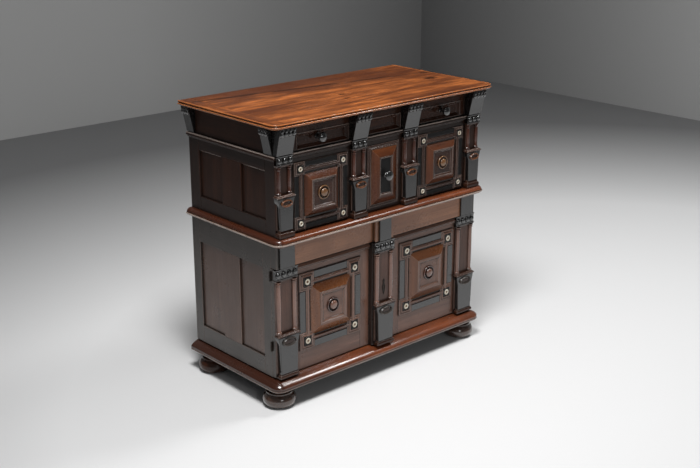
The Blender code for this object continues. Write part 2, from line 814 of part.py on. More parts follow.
def make_inner_boards():
    half = upper_inner_x - FIT
    tongue = front_half
    post_y = upper_front_y + POST_DEPTH + FIT
    front = upper_front_y
    plan = [
        (-tongue, front),
        (tongue, front),
        (tongue, post_y),
        (half, post_y),
        (half, side_back_y),
        (-half, side_back_y),
        (-half, post_y),
        (-tongue, post_y),
    ]
    middle = Matrix.Translation((0, 0, string_z1 - DIVIDER_THICKNESS / 2))
    place("drawer_divider", outline_mesh("divider", plan, DIVIDER_THICKNESS, middle), INNER_WOOD, "carcass")
    shelf_z = lower_z0 + CUPBOARD_SHELF_RISE
    shelf_half = lower_inner_x + HOUSING_DEPTH - FIT
    board(
        "cupboard_shelf",
        (-shelf_half, lower_front_y + CUPBOARD_SHELF_SETBACK, shelf_z),
        (shelf_half, side_back_y, shelf_z + CUPBOARD_SHELF_THICKNESS),
        INNER_WOOD,
        "carcass",
    )
    board(
        "upper_back",
        (-upper_x, back_board_y0, upper_z0),
        (upper_x, back_board_y1, upper_z1),
        INNER_WOOD,
        "carcass",
    )
    board(
        "lower_back",
        (-lower_x, back_board_y0, lower_z0),
        (lower_x, back_board_y1, lower_z1),
        INNER_WOOD,
        "carcass",
    )


def make_lower_frieze():
    """The rail over the doors, with its blocks standing proud."""
    rail_front = lower_front_y - BOARD_PROJECTION
    rail_back = lower_front_y - FIT
    z0 = lower_frieze_z0
    z1 = lower_z1
    pieces = [box_mesh("rail", (-lower_x, rail_front, z0), (lower_x, rail_back, z1))]
    root = rail_front + BLOCK_PROUD
    for x in (-lower_pilaster_x, lower_pilaster_x):
        half = BLOCK_WIDTH / 2
        pieces.append(box_mesh("block", (x - half, rail_front - BLOCK_PROUD, z0), (x + half, root, z1)))
    strip_front = rail_front - CENTRE_STRIP_PROUD
    half = CENTRE_STRIP_WIDTH / 2
    pieces.append(box_mesh("strip", (-half, strip_front, z0), (half, root, z1)))
    half = CENTRE_BLOCK_WIDTH / 2
    pieces.append(box_mesh("block", (-half, strip_front - CENTRE_BLOCK_PROUD, z0), (half, root, z1)))
    place("lower_frieze_rail", union("lower_frieze_rail", pieces), RED_WOOD, "carcass")


def corbel_profile(foot, head, z0, z1, root):
    """Side view of a corbel that leans out to the top, as depth outward and height."""
    band = z1 - CORBEL_BAND
    return [(root, z0), (foot, z0), (head, band), (head + CORBEL_LIP, band), (head + CORBEL_LIP, z1), (root, z1)]


def make_fixed_corbels():
    z0 = string_z1 + DRAWER_GAP
    z1 = upper_z1 - FIT
    profile = corbel_profile(CORBEL_FOOT, CORBEL_HEAD, z0, z1, FIT)
    outline = [(-depth, z) for depth, z in profile]
    mesh = outline_mesh("front_corbel", outline, CORBEL_WIDTH, ALONG_X)
    for side, x in (("left", -outer_corbel_x), ("right", outer_corbel_x)):
        place(f"front_{side}_corbel", mesh, EBONY, "carcass", (x, upper_front_y, 0))
    profile = corbel_profile(SIDE_CORBEL_FOOT, SIDE_CORBEL_HEAD, z0, z1, FIT)
    inset = SIDE_CORBEL_INSET + SIDE_CORBEL_WIDTH / 2
    spots = (("front", upper_front_y + inset - FIT), ("rear", back_board_y1 - SIDE_CORBEL_WIDTH / 2))
    for side, sign in (("left", -1), ("right", 1)):
        outline = [(sign * depth, z) for depth, z in profile]
        mesh = outline_mesh("side_corbel", outline, SIDE_CORBEL_WIDTH, ALONG_Y)
        for row, y in spots:
            place(f"{side}_{row}_side_corbel", mesh, EBONY, "carcass", (sign * upper_x, y, 0))


def pilaster_mesh(name, size, height, string_notch):
    """A pilaster: boss cap, two half columns on a backing strip, oval boss, console and plinth.

    It stands on z = 0 with its back on y = 0 and its front towards -Y.
    """
    cap_z0 = height - size["cap_height"]
    backing = size["backing_depth"]
    half = size["backing_width"] / 2
    in_plinth = size["backing_foot"]
    in_cap = height - size["cap_height"] / 2
    pieces = [box_mesh("backing", (-half, -backing, in_plinth), (half, FIT, in_cap))]
    half = size["cap_width"] / 2
    pieces.append(box_mesh("cap", (-half, -size["cap_depth"], cap_z0), (half, 2 * FIT, height)))
    fillet = size["ring_height"]
    half -= fillet / 2
    pieces.append(
        box_mesh("necking", (-half, -size["cap_depth"] + fillet / 2, cap_z0 - fillet), (half, 3 * FIT, in_cap))
    )
    bosses = size["bosses"]
    for k in range(bosses):
        x = (k - (bosses - 1) / 2) * size["boss_pitch"]
        centre = (x, SINK - size["cap_depth"], in_cap)
        radii = (size["boss_radius"], size["boss_depth"], size["boss_height"])
        pieces.append(egg_mesh("boss", centre, radii))
    foot = size["column_foot"]
    ring = size["ring_height"]
    radius = size["column_radius"]
    for x in (-size["column_x"], size["column_x"]):
        pieces.append(cylinder_mesh("column", radius, foot - ring, cap_z0, x, SINK - backing))
        for z in (foot, cap_z0 - 2 * ring - fillet):
            swell = radius + size["ring_rise"]
            pieces.append(cylinder_mesh("ring", swell, z, z + ring, x, SINK - backing))
    shoulder = size["shoulder_width"] / 2
    waist = size["console_width"] / 2
    tip = size["console_foot_width"] / 2
    top = size["console_top"]
    drop = top - size["shoulder_height"]
    foot = size["console_foot"]
    flare = shoulder - waist
    right = [(tip, foot - ring)]
    right += [(waist + flare * out, drop + size["shoulder_height"] * up) for out, up in SHOULDER_CURVE]
    outline = right + [(-x, z) for x, z in reversed(right)]
    depth = size["console_depth"]
    back = 3 * FIT
    lay = Matrix.Translation((0, (back - depth) / 2, 0)) @ ALONG_Y
    pieces.append(outline_mesh("console", outline, depth + back, lay))
    half = shoulder + ring / 2
    pieces.append(box_mesh("sill", (-half, -depth - ring / 2, top - ring / 2), (half, 2 * FIT, top + ring)))
    eye = (0, SINK - depth, top - size["eye_drop"])
    pieces.append(egg_mesh("eye", eye, (size["eye_width"] / 2, size["eye_depth"], size["eye_height"] / 2)))
    half = size["plinth_width"] / 2
    pieces.append(box_mesh("plinth", (-half, -depth - ring / 3, 0), (half, 2 * FIT, size["plinth_height"])))
    half -= ring / 2
    pieces.append(box_mesh("plinth_step", (-half, -depth + ring / 3, in_plinth), (half, back, foot)))
    wide = size["cap_width"]
    tools = [box_mesh("back", (-wide, -FIT, -wide), (wide, wide, height + wide))]
    if string_notch is not None:
        notch_z0, notch_depth = string_notch
        tools.append(box_mesh("notch", (-wide, -notch_depth, notch_z0), (wide, wide, height + wide)))
    return subtract(union(name, pieces), tools)


def make_upper_pilasters():
    foot_z = deep_z0
    height = string_z1 - foot_z
    notch = (string_z0 - FIT - foot_z, STRING_PROJECTION + 2 * FIT)
    mesh = pilaster_mesh("upper_pilaster", UPPER_PILASTER, height, notch)
    for side, x in (("left", -outer_pilaster_x), ("right", outer_pilaster_x)):
        place(f"upper_{side}_pilaster", mesh, EBONY, "carcass", (x, upper_front_y, foot_z))
    for side, x in (("left", -inner_pilaster_x), ("right", inner_pilaster_x)):
        place(f"drawer_{side}_pilaster", mesh, EBONY, "deep_drawer", (x, upper_front_y, foot_z))


def corner_meshes(size, x, z):
    """A moulded corner block in two steps, with a round disc on its face."""
    foot = size["corner_size"] / 2 - CORNER_INSET
    step = foot - CORNER_STEP_BEVEL
    head = step - CORNER_BEVEL
    middle = (x, z)
    top = CORNER_HEIGHT
    spot = Matrix.Translation((x, 0, z)) @ FACING_FRONT
    disc = cylinder_mesh("disc", size["disc_radius"], POCKET_HEIGHT, top + DISC_HEIGHT, sides=DISC_SIDES)
    disc.transform(spot)
    return [
        frustum_mesh("block", (foot, foot), (step, step), -SQUARE_THICKNESS / 2, -CORNER_STEP_HEIGHT, middle),
        frustum_mesh("step", (step, step), (head, head), -SQUARE_THICKNESS, -top, middle),
        disc,
    ]


def bar_meshes(size, half_x, half_z):
    """The flat bars that fill the four sides between the corner blocks."""
    out_x = half_x - size["bar_inset"] - size["bar_width"] / 2
    out_z = half_z - size["bar_inset"] - size["bar_width"] / 2
    broad = size["bar_width"] / 2
    root = -SQUARE_THICKNESS / 2
    bars = []
    for sign in (-1, 1):
        for long_half, spot, upright in (
            (half_x - size["corner_size"], (0, sign * out_z), False),
            (half_z - size["corner_size"], (sign * out_x, 0), True),
        ):
            foot = (broad, long_half) if upright else (long_half, broad)
            head = (foot[0] - BAR_BEVEL, foot[1] - BAR_BEVEL)
            bars.append(frustum_mesh("bar", foot, head, root, -BAR_HEIGHT, spot))
    return bars


def square_mesh(name, size, half_x, half_z):
    """A geometric panel: bars between corner blocks, a moulding round a bevelled block, a ring boss."""

    def inset(amount):
        return (half_x - amount, half_z - amount)

    pieces = [box_mesh("field", (-half_x, -SQUARE_THICKNESS, -half_z), (half_x, -FIT, half_z))]
    pieces += bar_meshes(size, half_x, half_z)
    rim = inset(size["frame_inset"])
    crest = inset(size["frame_inset"] + FRAME_BEVEL)
    pieces.append(frustum_mesh("frame", rim, crest, -SQUARE_THICKNESS / 2, -FRAME_HEIGHT))
    reach = half_x - size["corner_size"] / 2
    rise = half_z - size["corner_size"] / 2
    for x in (-reach, reach):
        for z in (-rise, rise):
            pieces += corner_meshes(size, x, z)
    mouth = inset(size["pocket_inset"])
    floor = inset(size["pocket_inset"] + POCKET_BEVEL)
    pocket = frustum_mesh("pocket", floor, mouth, -POCKET_HEIGHT, -CORNER_HEIGHT - DISC_HEIGHT)
    framed = subtract(union(name, pieces), [pocket])
    foot = inset(size["raised_inset"])
    table = inset(size["table_inset"])
    block = frustum_mesh("raised", foot, table, -SQUARE_THICKNESS, -RAISED_HEIGHT)
    mouth = inset(size["recess_inset"])
    floor = inset(size["recess_inset"] + RECESS_BEVEL)
    floor_y = RECESS_DEPTH - RAISED_HEIGHT
    recess = frustum_mesh("recess", floor, mouth, floor_y, floor_y - 2 * RECESS_DEPTH)
    block = subtract(block, [recess])
    crown = RING_HEIGHT - floor_y
    radius = size["ring_radius"]
    profile = [(radius * out, crown - drop) for out, drop in RING_CURVE]
    profile += [(radius, POCKET_HEIGHT), (0.0, POCKET_HEIGHT)]
    return union(name, [framed, block, turned_mesh("ring", profile, FACING_FRONT)])


def make_frieze_drawer():
    lo = (-front_half, upper_front_y, frieze_z0)
    hi = (front_half, drawer_back_y, frieze_z1)
    pieces = [box_mesh("front", lo, hi)]
    profile = corbel_profile(CORBEL_FOOT, CORBEL_HEAD, frieze_z0, frieze_z1, -FRONT_THICKNESS / 2)
    for x in (-inner_pilaster_x, inner_pilaster_x):
        outline = [(upper_front_y - depth, z) for depth, z in profile]
        corbel = outline_mesh("corbel", outline, CORBEL_WIDTH, ALONG_X)
        corbel.transform(Matrix.Translation((x, 0, 0)))
        pieces.append(corbel)
    obj = place("frieze_drawer_front", union("frieze_front", pieces), DARK_WOOD, "frieze_drawer")
    z0 = frieze_z0 + SUNK_BOTTOM_MARGIN
    z1 = frieze_z1 - SUNK_TOP_MARGIN
    inner = inner_pilaster_x - CORBEL_WIDTH / 2 - SUNK_BOTTOM_MARGIN
    first = inner_pilaster_x + CORBEL_WIDTH / 2 + SUNK_BOTTOM_MARGIN
    last = front_half - SUNK_SIDE_MARGIN
    height = (z1 - z0) / 2
    for x0, x1 in ((-last, -first), (-inner, inner), (first, last)):
        half = (x1 - x0) / 2
        lean = (SUNK_DEPTH + FIT) / SUNK_DEPTH * SUNK_BEVEL
        mouth = (half - SUNK_BEVEL + lean, height - SUNK_BEVEL + lean)
        floor = (half - SUNK_BEVEL, height - SUNK_BEVEL)
        y_mouth = upper_front_y - FIT
        sunk = frustum_mesh("sunk", floor, mouth, upper_front_y + SUNK_DEPTH, y_mouth)
        cut(obj, sunk, ((x0 + x1) / 2, 0, (z0 + z1) / 2))
    make_tray("frieze_drawer", string_z1 + FIT, upper_z1 - FRIEZE_TRAY_HEADROOM)
    knob_y = upper_front_y + SUNK_DEPTH - FIT
    knob_x = front_half - FRIEZE_KNOB_INSET
    mesh = knob_mesh("frieze_knob", FRIEZE_KNOB_RADIUS, FRIEZE_KNOB_LENGTH)
    for side, x in (("left", -knob_x), ("right", knob_x)):
        spot = (x, knob_y, frieze_z0 + FRIEZE_KNOB_RISE)
        place(f"frieze_{side}_knob", mesh, EBONY, "frieze_drawer", spot)


def make_tray(body, z0, z1):
    """The box behind a drawer front: two sides, a back and a bottom, open above."""
    half = front_half - TRAY_SIDE_GAP
    y0 = drawer_back_y + FIT
    y1 = side_back_y - TRAY_BACK_GAP
    tray = board(f"{body}_box", (-half, y0, z0), (half, y1, z1), INNER_WOOD, body)
    inner = half - TRAY_WALL
    cut_box(
        tray,
        (-inner, y0 + TRAY_WALL, z0 + TRAY_BOTTOM),
        (inner, y1 - TRAY_WALL, z1 + TRAY_WALL),
    )


def knob_mesh(name, radius, length):
    """A turned knob on a slim neck, standing out along -Y."""
    profile = [(radius * out, length * up) for out, up in KNOB_CURVE]
    return turned_mesh(name, profile, FACING_FRONT)


def make_deep_drawer():
    board(
        "deep_drawer_front",
        (-front_half, upper_front_y, deep_z0),
        (front_half, drawer_back_y, deep_z1),
        DARK_WOOD,
        "deep_drawer",
    )
    make_tray("deep_drawer", shelf_z1 + FIT, string_z1 - DIVIDER_THICKNESS - DEEP_TRAY_HEADROOM)
    x0 = inner_pilaster_x + sill_half + SQUARE_GAP
    x1 = front_half - SQUARE_END_MARGIN
    z0 = deep_z0 + SQUARE_BOTTOM_MARGIN
    z1 = deep_z1 - SQUARE_TOP_MARGIN
    mesh = square_mesh("drawer_square", DRAWER_SQUARE, (x1 - x0) / 2, (z1 - z0) / 2)
    for side, sign in (("left", -1), ("right", 1)):
        spot = (sign * (x0 + x1) / 2, upper_front_y, (z0 + z1) / 2)
        place(f"drawer_{side}_square", mesh, RED_WOOD, "deep_drawer", spot)
    z0 = deep_z0 + CENTRE_BOTTOM_MARGIN
    z1 = deep_z1 - CENTRE_TOP_MARGIN
    middle = (z0 + z1) / 2
    half = (inner_pilaster_x - sill_half - CENTRE_PANEL_GAP, (z1 - z0) / 2)
    table = (half[0] - CENTRE_BEVEL_ACROSS, half[1] - CENTRE_BEVEL_UP)
    plate = box_mesh("plate", (-half[0], -CENTRE_FOOT, -half[1]), (half[0], -FIT, half[1]))
    step = (half[0] - CENTRE_STEP, half[1] - CENTRE_STEP)
    raised = frustum_mesh("raised", step, table, -CENTRE_FOOT / 2, -CENTRE_DEPTH)
    panel = place(
        "drawer_centre_panel",
        union("centre_panel", [plate, raised]),
        RED_WOOD,
        "deep_drawer",
        (0, upper_front_y, middle),
    )
    half = (table[0] - CENTRE_RECESS_MARGIN, table[1] - CENTRE_RECESS_MARGIN)
    floor_y = upper_front_y - CENTRE_DEPTH + CENTRE_RECESS
    cut_box(
        panel,
        (-half[0], upper_front_y - CENTRE_DEPTH - CENTRE_RECESS, middle - half[1]),
        (half[0], floor_y, middle + half[1]),
    )
    mesh = knob_mesh("deep_knob", DEEP_KNOB_RADIUS, DEEP_KNOB_LENGTH)
    place("deep_drawer_knob", mesh, EBONY, "deep_drawer", (0, floor_y - FIT, middle + DEEP_KNOB_RISE))


def hinge_levels():
    """Foot height of each hinge, the same on both doors."""
    return (door_z0 + LOWER_HINGE_RISE, door_z1 - UPPER_HINGE_DROP - HINGE_HEIGHT)


def hinge_meshes(sign):
    """A fixed leaf with its pin and a door leaf with the middle knuckle, round the axis at z = 0."""
    third = HINGE_HEIGHT / 3
    reach = HINGE_LEAF_WIDTH + KNUCKLE_RADIUS + FIT
    thick = HINGE_LEAF_THICKNESS
    face = HINGE_GAP / 2
    x0, x1 = sorted((0.0, -sign * reach))
    fixed = [box_mesh("leaf", (x0, face - FIT, 0), (x1, face + thick, HINGE_HEIGHT))]
    for z in (0.0, 2 * third):
        fixed.append(cylinder_mesh("knuckle", KNUCKLE_RADIUS, z, z + third, sides=HINGE_SIDES))
    fixed.append(cylinder_mesh("pin", PIN_RADIUS, third / 2, 2.5 * third, sides=HINGE_SIDES))
    room = KNUCKLE_RADIUS + PIN_CLEARANCE
    z0, z1 = third, 2 * third
    fixed_leaf = subtract(
        union("fixed_leaf", fixed[:-1]),
        [box_mesh("room", (-room, -room, z0), (room, room, z1))],
    )
    fixed_leaf = union("fixed_leaf", [fixed_leaf, fixed[-1]])
    leaf = box_mesh("leaf", (x0, -face - thick, 0), (x1, FIT - face, HINGE_HEIGHT))
    knuckle = cylinder_mesh("knuckle", KNUCKLE_RADIUS, z0 + PIN_CLEARANCE, z1 - PIN_CLEARANCE, sides=HINGE_SIDES)
    ends = [
        box_mesh("room", (-room, -room, -room), (room, room, z0 + PIN_CLEARANCE)),
        box_mesh("room", (-room, -room, z1 - PIN_CLEARANCE), (room, room, HINGE_HEIGHT + room)),
    ]
    door_leaf = union("door_leaf", [subtract(leaf, ends), knuckle])
    bore = cylinder_mesh("bore", PIN_RADIUS + PIN_CLEARANCE, -room, HINGE_HEIGHT + room, sides=HINGE_SIDES)
    return fixed_leaf, subtract(door_leaf, [bore])


def make_doors():
    inner_x = astragal_half + DOOR_STILE
    outer_x = lower_pilaster_x - LOWER_PILASTER["cap_width"] / 2 - DOOR_SQUARE_GAP
    foot_z = door_z0 + DOOR_BOTTOM_MARGIN
    head_z = door_z1 - DOOR_TOP_MARGIN
    square = square_mesh("door_square", DOOR_SQUARE, (outer_x - inner_x) / 2, (head_z - foot_z) / 2)
    height = door_z1 - door_z0
    pilaster = pilaster_mesh("lower_pilaster", LOWER_PILASTER, height, None)
    edges = {
        "left": (-lower_x, meeting_x - DOOR_GAP),
        "right": (meeting_x, lower_x),
    }
    for side, sign in (("left", -1), ("right", 1)):
        body = f"{side}_door"
        x0, x1 = edges[side]
        door = board(body, (x0, door_front_y, door_z0), (x1, door_back_y, door_z1), RED_WOOD, body)
        leaf = HINGE_LEAF_THICKNESS + FIT
        fixed_leaf, door_leaf = hinge_meshes(sign)
        for level, z0 in zip(("lower", "upper"), hinge_levels()):
            pocket = sorted((sign * (lower_x - HINGE_LEAF_WIDTH - FIT), sign * (lower_x + REBATE)))
            cut_box(
                door,
                (pocket[0], door_back_y - leaf, z0 - FIT),
                (pocket[1], door_back_y + REBATE, z0 + HINGE_HEIGHT + FIT),
            )
            spot = (sign * hinge_x, hinge_y, z0)
            place(f"{side}_{level}_hinge_fixed_leaf", fixed_leaf, IRON, "carcass", spot)
            place(f"{side}_{level}_hinge_door_leaf", door_leaf, IRON, body, spot)
        spot = (sign * (inner_x + outer_x) / 2, door_front_y, (foot_z + head_z) / 2)
        place(f"{side}_door_square", square, RED_WOOD, body, spot)
        spot = (sign * lower_pilaster_x, door_front_y, door_z0)
        place(f"{side}_door_pilaster", pilaster, EBONY, body, spot)
    astragal_y = door_front_y - FIT
    astragal = board(
        "door_astragal",
        (meeting_x, astragal_y - ASTRAGAL_THICKNESS, door_z0),
        (astragal_half, astragal_y, door_z1),
        RED_WOOD,
        "right_door",
    )
    spot = (0, astragal_y - ASTRAGAL_THICKNESS, door_z0)
    centre = place("centre_pilaster", pilaster, EBONY, "right_door", spot)
    strip_y = astragal_y - ASTRAGAL_THICKNESS - LOWER_PILASTER["backing_depth"]
    make_lock(strip_y, (astragal, centre, bpy.data.objects["right_door"]))


def keyhole_mesh(y0, y1):
    z = door_z0 + KEYHOLE_RISE
    turn = [math.radians(a) for a in range(-50, 231, 40)]
    outline = [(KEYHOLE_RADIUS * math.cos(a), z + KEYHOLE_RADIUS * math.sin(a)) for a in turn]
    slot = KEYHOLE_SLOT_WIDTH / 2
    foot = z - KEYHOLE_SLOT_HEIGHT
    outline += [(-slot, foot), (slot, foot)]
    lay = Matrix.Translation((0, (y0 + y1) / 2, 0)) @ ALONG_Y
    return outline_mesh("keyhole", outline, y1 - y0, lay)


def make_lock(strip_y, pierced):
    """Keyhole plate on the centre pilaster, and the lock case with its bolt inside the door."""
    for obj in pierced:
        cut(obj, keyhole_mesh(strip_y - REBATE, door_back_y + REBATE))
    half = ESCUTCHEON_WIDTH / 2
    z = door_z0 + KEYHOLE_RISE
    rise = ESCUTCHEON_HEIGHT / 2
    right = [(half * out, z + rise * up) for out, up in ESCUTCHEON_CURVE]
    outline = [(0.0, z - rise)] + right + [(0.0, z + rise)] + [(-x, v) for x, v in reversed(right)]
    plate_y = strip_y - FIT - ESCUTCHEON_THICKNESS / 2
    lay = Matrix.Translation((0, plate_y, 0)) @ ALONG_Y
    plate = outline_mesh("escutcheon", outline, ESCUTCHEON_THICKNESS, lay)
    plate = subtract(plate, [keyhole_mesh(strip_y - REBATE, strip_y + REBATE)])
    place("escutcheon", plate, IRON, "right_door")
    case_x0 = meeting_x + FIT
    case_y0 = door_back_y + FIT
    case_z0 = door_z0 + LOCK_RISE
    case_hi = (case_x0 + LOCK_WIDTH, case_y0 + LOCK_DEPTH, case_z0 + LOCK_HEIGHT)
    case = board("lock_case", (case_x0, case_y0, case_z0), case_hi, IRON, "right_door")
    bolt_z0 = case_z0 + LOCK_HEIGHT - 2 * LOCK_WALL - BOLT_HEIGHT
    bolt_y0 = case_y0 + LOCK_WALL
    bolt_lo = (case_x0, bolt_y0, bolt_z0)
    bolt_hi = (case_x0 + BOLT_LENGTH, bolt_y0 + BOLT_DEPTH, bolt_z0 + BOLT_HEIGHT)
    cut_box(
        case,
        (case_x0 - LOCK_WALL, bolt_lo[1] - BOLT_GAP, bolt_lo[2] - BOLT_GAP),
        (bolt_hi[0] + BOLT_GAP, bolt_hi[1] + BOLT_GAP, bolt_hi[2] + BOLT_GAP),
    )
    board("lock_bolt", bolt_lo, bolt_hi, IRON, "right_door")


make_top()
make_mid_shelf()
make_base()
make_string_moulding()
make_feet()
make_lower_sides()
make_upper_sides()
make_inner_boards()
make_lower_frieze()
make_fixed_corbels()
make_upper_pilasters()
make_frieze_drawer()
make_deep_drawer()
make_doors()
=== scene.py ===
"""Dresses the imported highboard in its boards, mouldings and finishes, and sets it in a plain studio."""

import math
from types import SimpleNamespace

import bmesh
import bpy
from bpy.props import FloatProperty, FloatVectorProperty, PointerProperty
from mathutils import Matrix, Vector


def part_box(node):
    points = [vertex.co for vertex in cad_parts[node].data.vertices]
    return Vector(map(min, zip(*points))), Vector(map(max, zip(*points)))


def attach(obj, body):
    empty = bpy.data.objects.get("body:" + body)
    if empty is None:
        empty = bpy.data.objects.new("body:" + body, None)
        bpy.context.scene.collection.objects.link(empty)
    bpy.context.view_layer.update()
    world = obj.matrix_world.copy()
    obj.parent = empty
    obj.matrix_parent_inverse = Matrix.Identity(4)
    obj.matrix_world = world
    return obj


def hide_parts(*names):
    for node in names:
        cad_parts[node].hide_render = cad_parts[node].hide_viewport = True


bl_info = {
    "name": "Highboard",
    "version": (1, 0, 0),
    "blender": (4, 5, 0),
    "location": "View3D > Sidebar > Highboard",
    "description": "Dresses a two-stage highboard in its boards, mouldings and finishes",
    "category": "Object",
}

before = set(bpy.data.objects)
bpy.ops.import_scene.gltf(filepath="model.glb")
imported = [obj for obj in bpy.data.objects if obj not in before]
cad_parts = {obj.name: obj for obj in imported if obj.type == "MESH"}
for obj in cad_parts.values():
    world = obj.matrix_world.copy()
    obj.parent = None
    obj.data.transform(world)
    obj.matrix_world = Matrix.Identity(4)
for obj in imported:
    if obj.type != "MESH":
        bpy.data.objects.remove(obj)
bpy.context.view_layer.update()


def mm(*points):
    """Profile points in metres, given in millimetres."""
    return [tuple(value / 1000 for value in point) for point in points]


def shifted(profile, across=0.0, up=0.0):
    return [(a + across, b + up) for a, b in profile]


def arc(centre, radii, start, end, steps):
    """Points on an arc of a circle or oval between two angles in degrees."""
    points = []
    for k in range(steps + 1):
        angle = math.radians(start + (end - start) * k / steps)
        points.append((centre[0] + radii[0] * math.cos(angle), centre[1] + radii[1] * math.sin(angle)))
    return points


def column_of(table, k):
    """One column of a table of sizes."""
    return SimpleNamespace(**{name: row[k] for name, row in table.items()})


# Lengths are in metres. Profiles are inset or projection, then height

# Moulded boards with rounded front corners
CORNER_RADIUS = 0.040
LEAST_CORNER = 0.002
CORNER_STEPS = 8
TOP_EDGE = mm((12.5, 0), (12.2, 1.6), (10, 3), (6, 4.2), (3, 5), (1.2, 6), (0.2, 7.8), (0, 9.4), (0.8, 11.2),
              (2.6, 12.4), (5.8, 13), (6.2, 14.6), (30, 14.8))
TOP_LIP = mm((6.2, 13.8), (3.6, 15), (3.2, 16), (3.2, 20), (4.4, 21.7), (6.4, 22), (18.6, 22), (19.4, 20.6),
             (19.4, 18))
SHELF_EDGE = mm((12, 0), (9.5, 0.6), (6, 3), (5, 6.2), (1.5, 6.6), (1.2, 7.6), (1.2, 12.2), (1.8, 13.2),
                (3.6, 13.5))
SHELF_EDGE += arc((0.0220, 0.0142), (0.018, 0.0168), 180, 90, 8) + mm((23, 31.5))
SHELF_BEAD = mm((3, 6.8), (0.6, 7), (0, 8), (0, 11.6), (0.6, 12.6), (3, 13))
BASE_EDGE = mm((8, 0), (3, 2), (2.6, 9), (1, 11), (0, 13.5), (0, 16.8), (0.8, 20.2), (2.8, 23.2), (6, 26.1),
               (9.8, 29), (13.4, 31.4), (16.4, 33), (24, 36.2), (33, 39.8), (43, 43.8), (50, 46))
BASE_BEAD = mm((6, 0), (2.5, 0.8), (0.6, 2.8), (0, 5.6), (0, 8), (1.2, 9.6), (4, 10))
# The mid shelf bead and the base bead are pale as a painted highlight along their lower edge, besides rubbing
MOULDED_BOARDS = (
    ("mid_shelf_nosing", "mid_shelf", "Bright Moulding", "Worn Red", SHELF_EDGE),
    ("mid_shelf_bead", "mid_shelf", "Rubbed Bead", None, SHELF_BEAD),
    ("base_ovolo", "base_plinth", "Base Moulding", "Worn Red", BASE_EDGE),
    ("base_bead", "base_plinth", "Worn Dark", None, BASE_BEAD),
)

# String moulding: inner points from the side, outer points and bead from its outer edge
STRING_INNER = mm((0, 0), (5, 0), (5.6, 3), (7.4, 3.6), (7.4, 6.2), (9.6, 7.4))
STRING_OUTER = mm((0, 9.6), (0, 15), (-1, 16.4), (-4.4, 16.8), (-5, 21.6))
STRING_TOP = mm((0, 21.6))
STRING_BEAD = mm((-6, 16.8), (-2.4, 17), (-1.2, 18), (-1.2, 20.2), (-3, 21.6), (-6, 22))

# Planks of the top: knots by place and radius, and the slanted seam by a point, its normal and its run
TOP_KNOTS = ((0.497, -0.037, 0.027), (-0.033, -0.038, 0.013), (-0.072, -0.113, 0.010))
TOP_SEAM = ((-0.545, 0.243, 0.0), (0.148, 0.989, 0.0))
TOP_SEAM_RUN = (1.09, -0.163)
TOP_FRONT_SEAM = -0.128
TOP_SEAM_WIDTHS = 3
TOP_RIM = 0.0200
TOP_END_WIDTH = 0.0638
TOP_PLANK_FOOT = 0.0184

# Sides: openings from front to rear and from low to high
UPPER_OPENINGS = ((-0.1935, -0.0392), (0.0909, 0.2452))
UPPER_LOW, UPPER_HIGH = 0.7977, 0.9990
UPPER_THICK = 0.026
UPPER_PANEL_BACK = 0.004
UPPER_PANEL_LAP = 0.003
STRING_SEAT = 0.011
LOWER_OPENINGS = ((-0.1690, -0.0133), (0.1055, 0.2612))
LOWER_LOW, LOWER_HIGH = 0.2096, 0.5956
LOWER_PANEL_BACK = 0.018
LOWER_PANEL_LAP = 0.006
PANEL_DEPTH = 0.008
PANEL_LIP = mm((0, -7.8), (0, -0.4), (6, -6.4), (6.8, -7.8))
POST_INNER, POST_REAR = 0.4864, -0.2265
GUIDE_INNER, GUIDE_FRONT, GUIDE_REAR = 0.4842, -0.2262, 0.2920
GUIDE_HEIGHT, GUIDE_CLEAR = 0.016, 0.0003

# Corbels: foot and head stand out from the face, and drops are shares of their pitch with a fall
CORBEL_BEND = 1.08
CORBEL_STEPS = 6
CORBEL_BAND = 0.010
CORBEL_CAP = 0.003
FRONT_CORBEL = (0.023, 0.047, 4)
SIDE_CORBEL = (0.008, 0.030, 3)
DROP_LIFT = 0.001
DROP_TURNING = ((0.45, -0.006), (0.55, -0.003), (0.66, 0.001), (0.62, 0.004), (0.80, 0.0065), (0.96, 0.0105),
                (0.98, 0.0145), (0.86, 0.0185), (0.58, 0.0218), (0.10, 0.0235))

# Frieze drawer front: places from the middle outwards
FRIEZE_FACE = -0.2535
FRIEZE_LOW, FRIEZE_HIGH = 1.0750, 1.1347
FRIEZE_STOPS = (0.0985, 0.1905, 0.4589)
FRIEZE_CORBEL_X, FRIEZE_CORBEL_HALF = 0.1445, 0.040
SUNK_DEPTH = 0.008
SUNK_MOULD = mm((-3, -1), (-3, 2.2), (-0.8, 2.8), (0.8, 1.2), (2.2, -1.2), (13, -8), (13, -9.5), (0, -9.5))

# Pilasters, upper and lower: widths across, heights from the foot, depths out from the back
PILASTERS = {
    "cap_width": (0.082, 0.118),
    "cap_height": (0.036, 0.046),
    "cap_depth": (0.0205, 0.0155),
    "string_depth": (0.0141, 0.0),
    "bosses": (3, 4),
    "boss_pitch": (0.0265, 0.0285),
    "boss_radius": (0.0105, 0.0115),
    "boss_height": (0.0125, 0.0140),
    "boss_depth": (0.0105, 0.0095),
    "backing_width": (0.074, 0.104),
    "backing_depth": (0.010, 0.008),
    "column_radius": (0.0092, 0.0102),
    "column_x": (0.0262, 0.040),
    "column_foot": (0.171, 0.193),
    "shoulder_width": (0.084, 0.108),
    "console_width": (0.067, 0.092),
    "console_foot_width": (0.060, 0.084),
    "console_depth": (0.0265, 0.025),
    "console_foot": (0.030, 0.020),
    "console_top": (0.159, 0.180),
    "shoulder_height": (0.038, 0.044),
    "eye_width": (0.058, 0.074),
    "eye_height": (0.033, 0.039),
    "eye_drop": (0.0209, 0.0242),
    "plinth_width": (0.076, 0.098),
    "plinth_height": (0.018, 0.012),
    "woods": (
        {"eye": "Red Walnut"},
        {"eye": "Frame Brown", "backing": "Backing Walnut", "column": "Column Pale"},
    ),
}
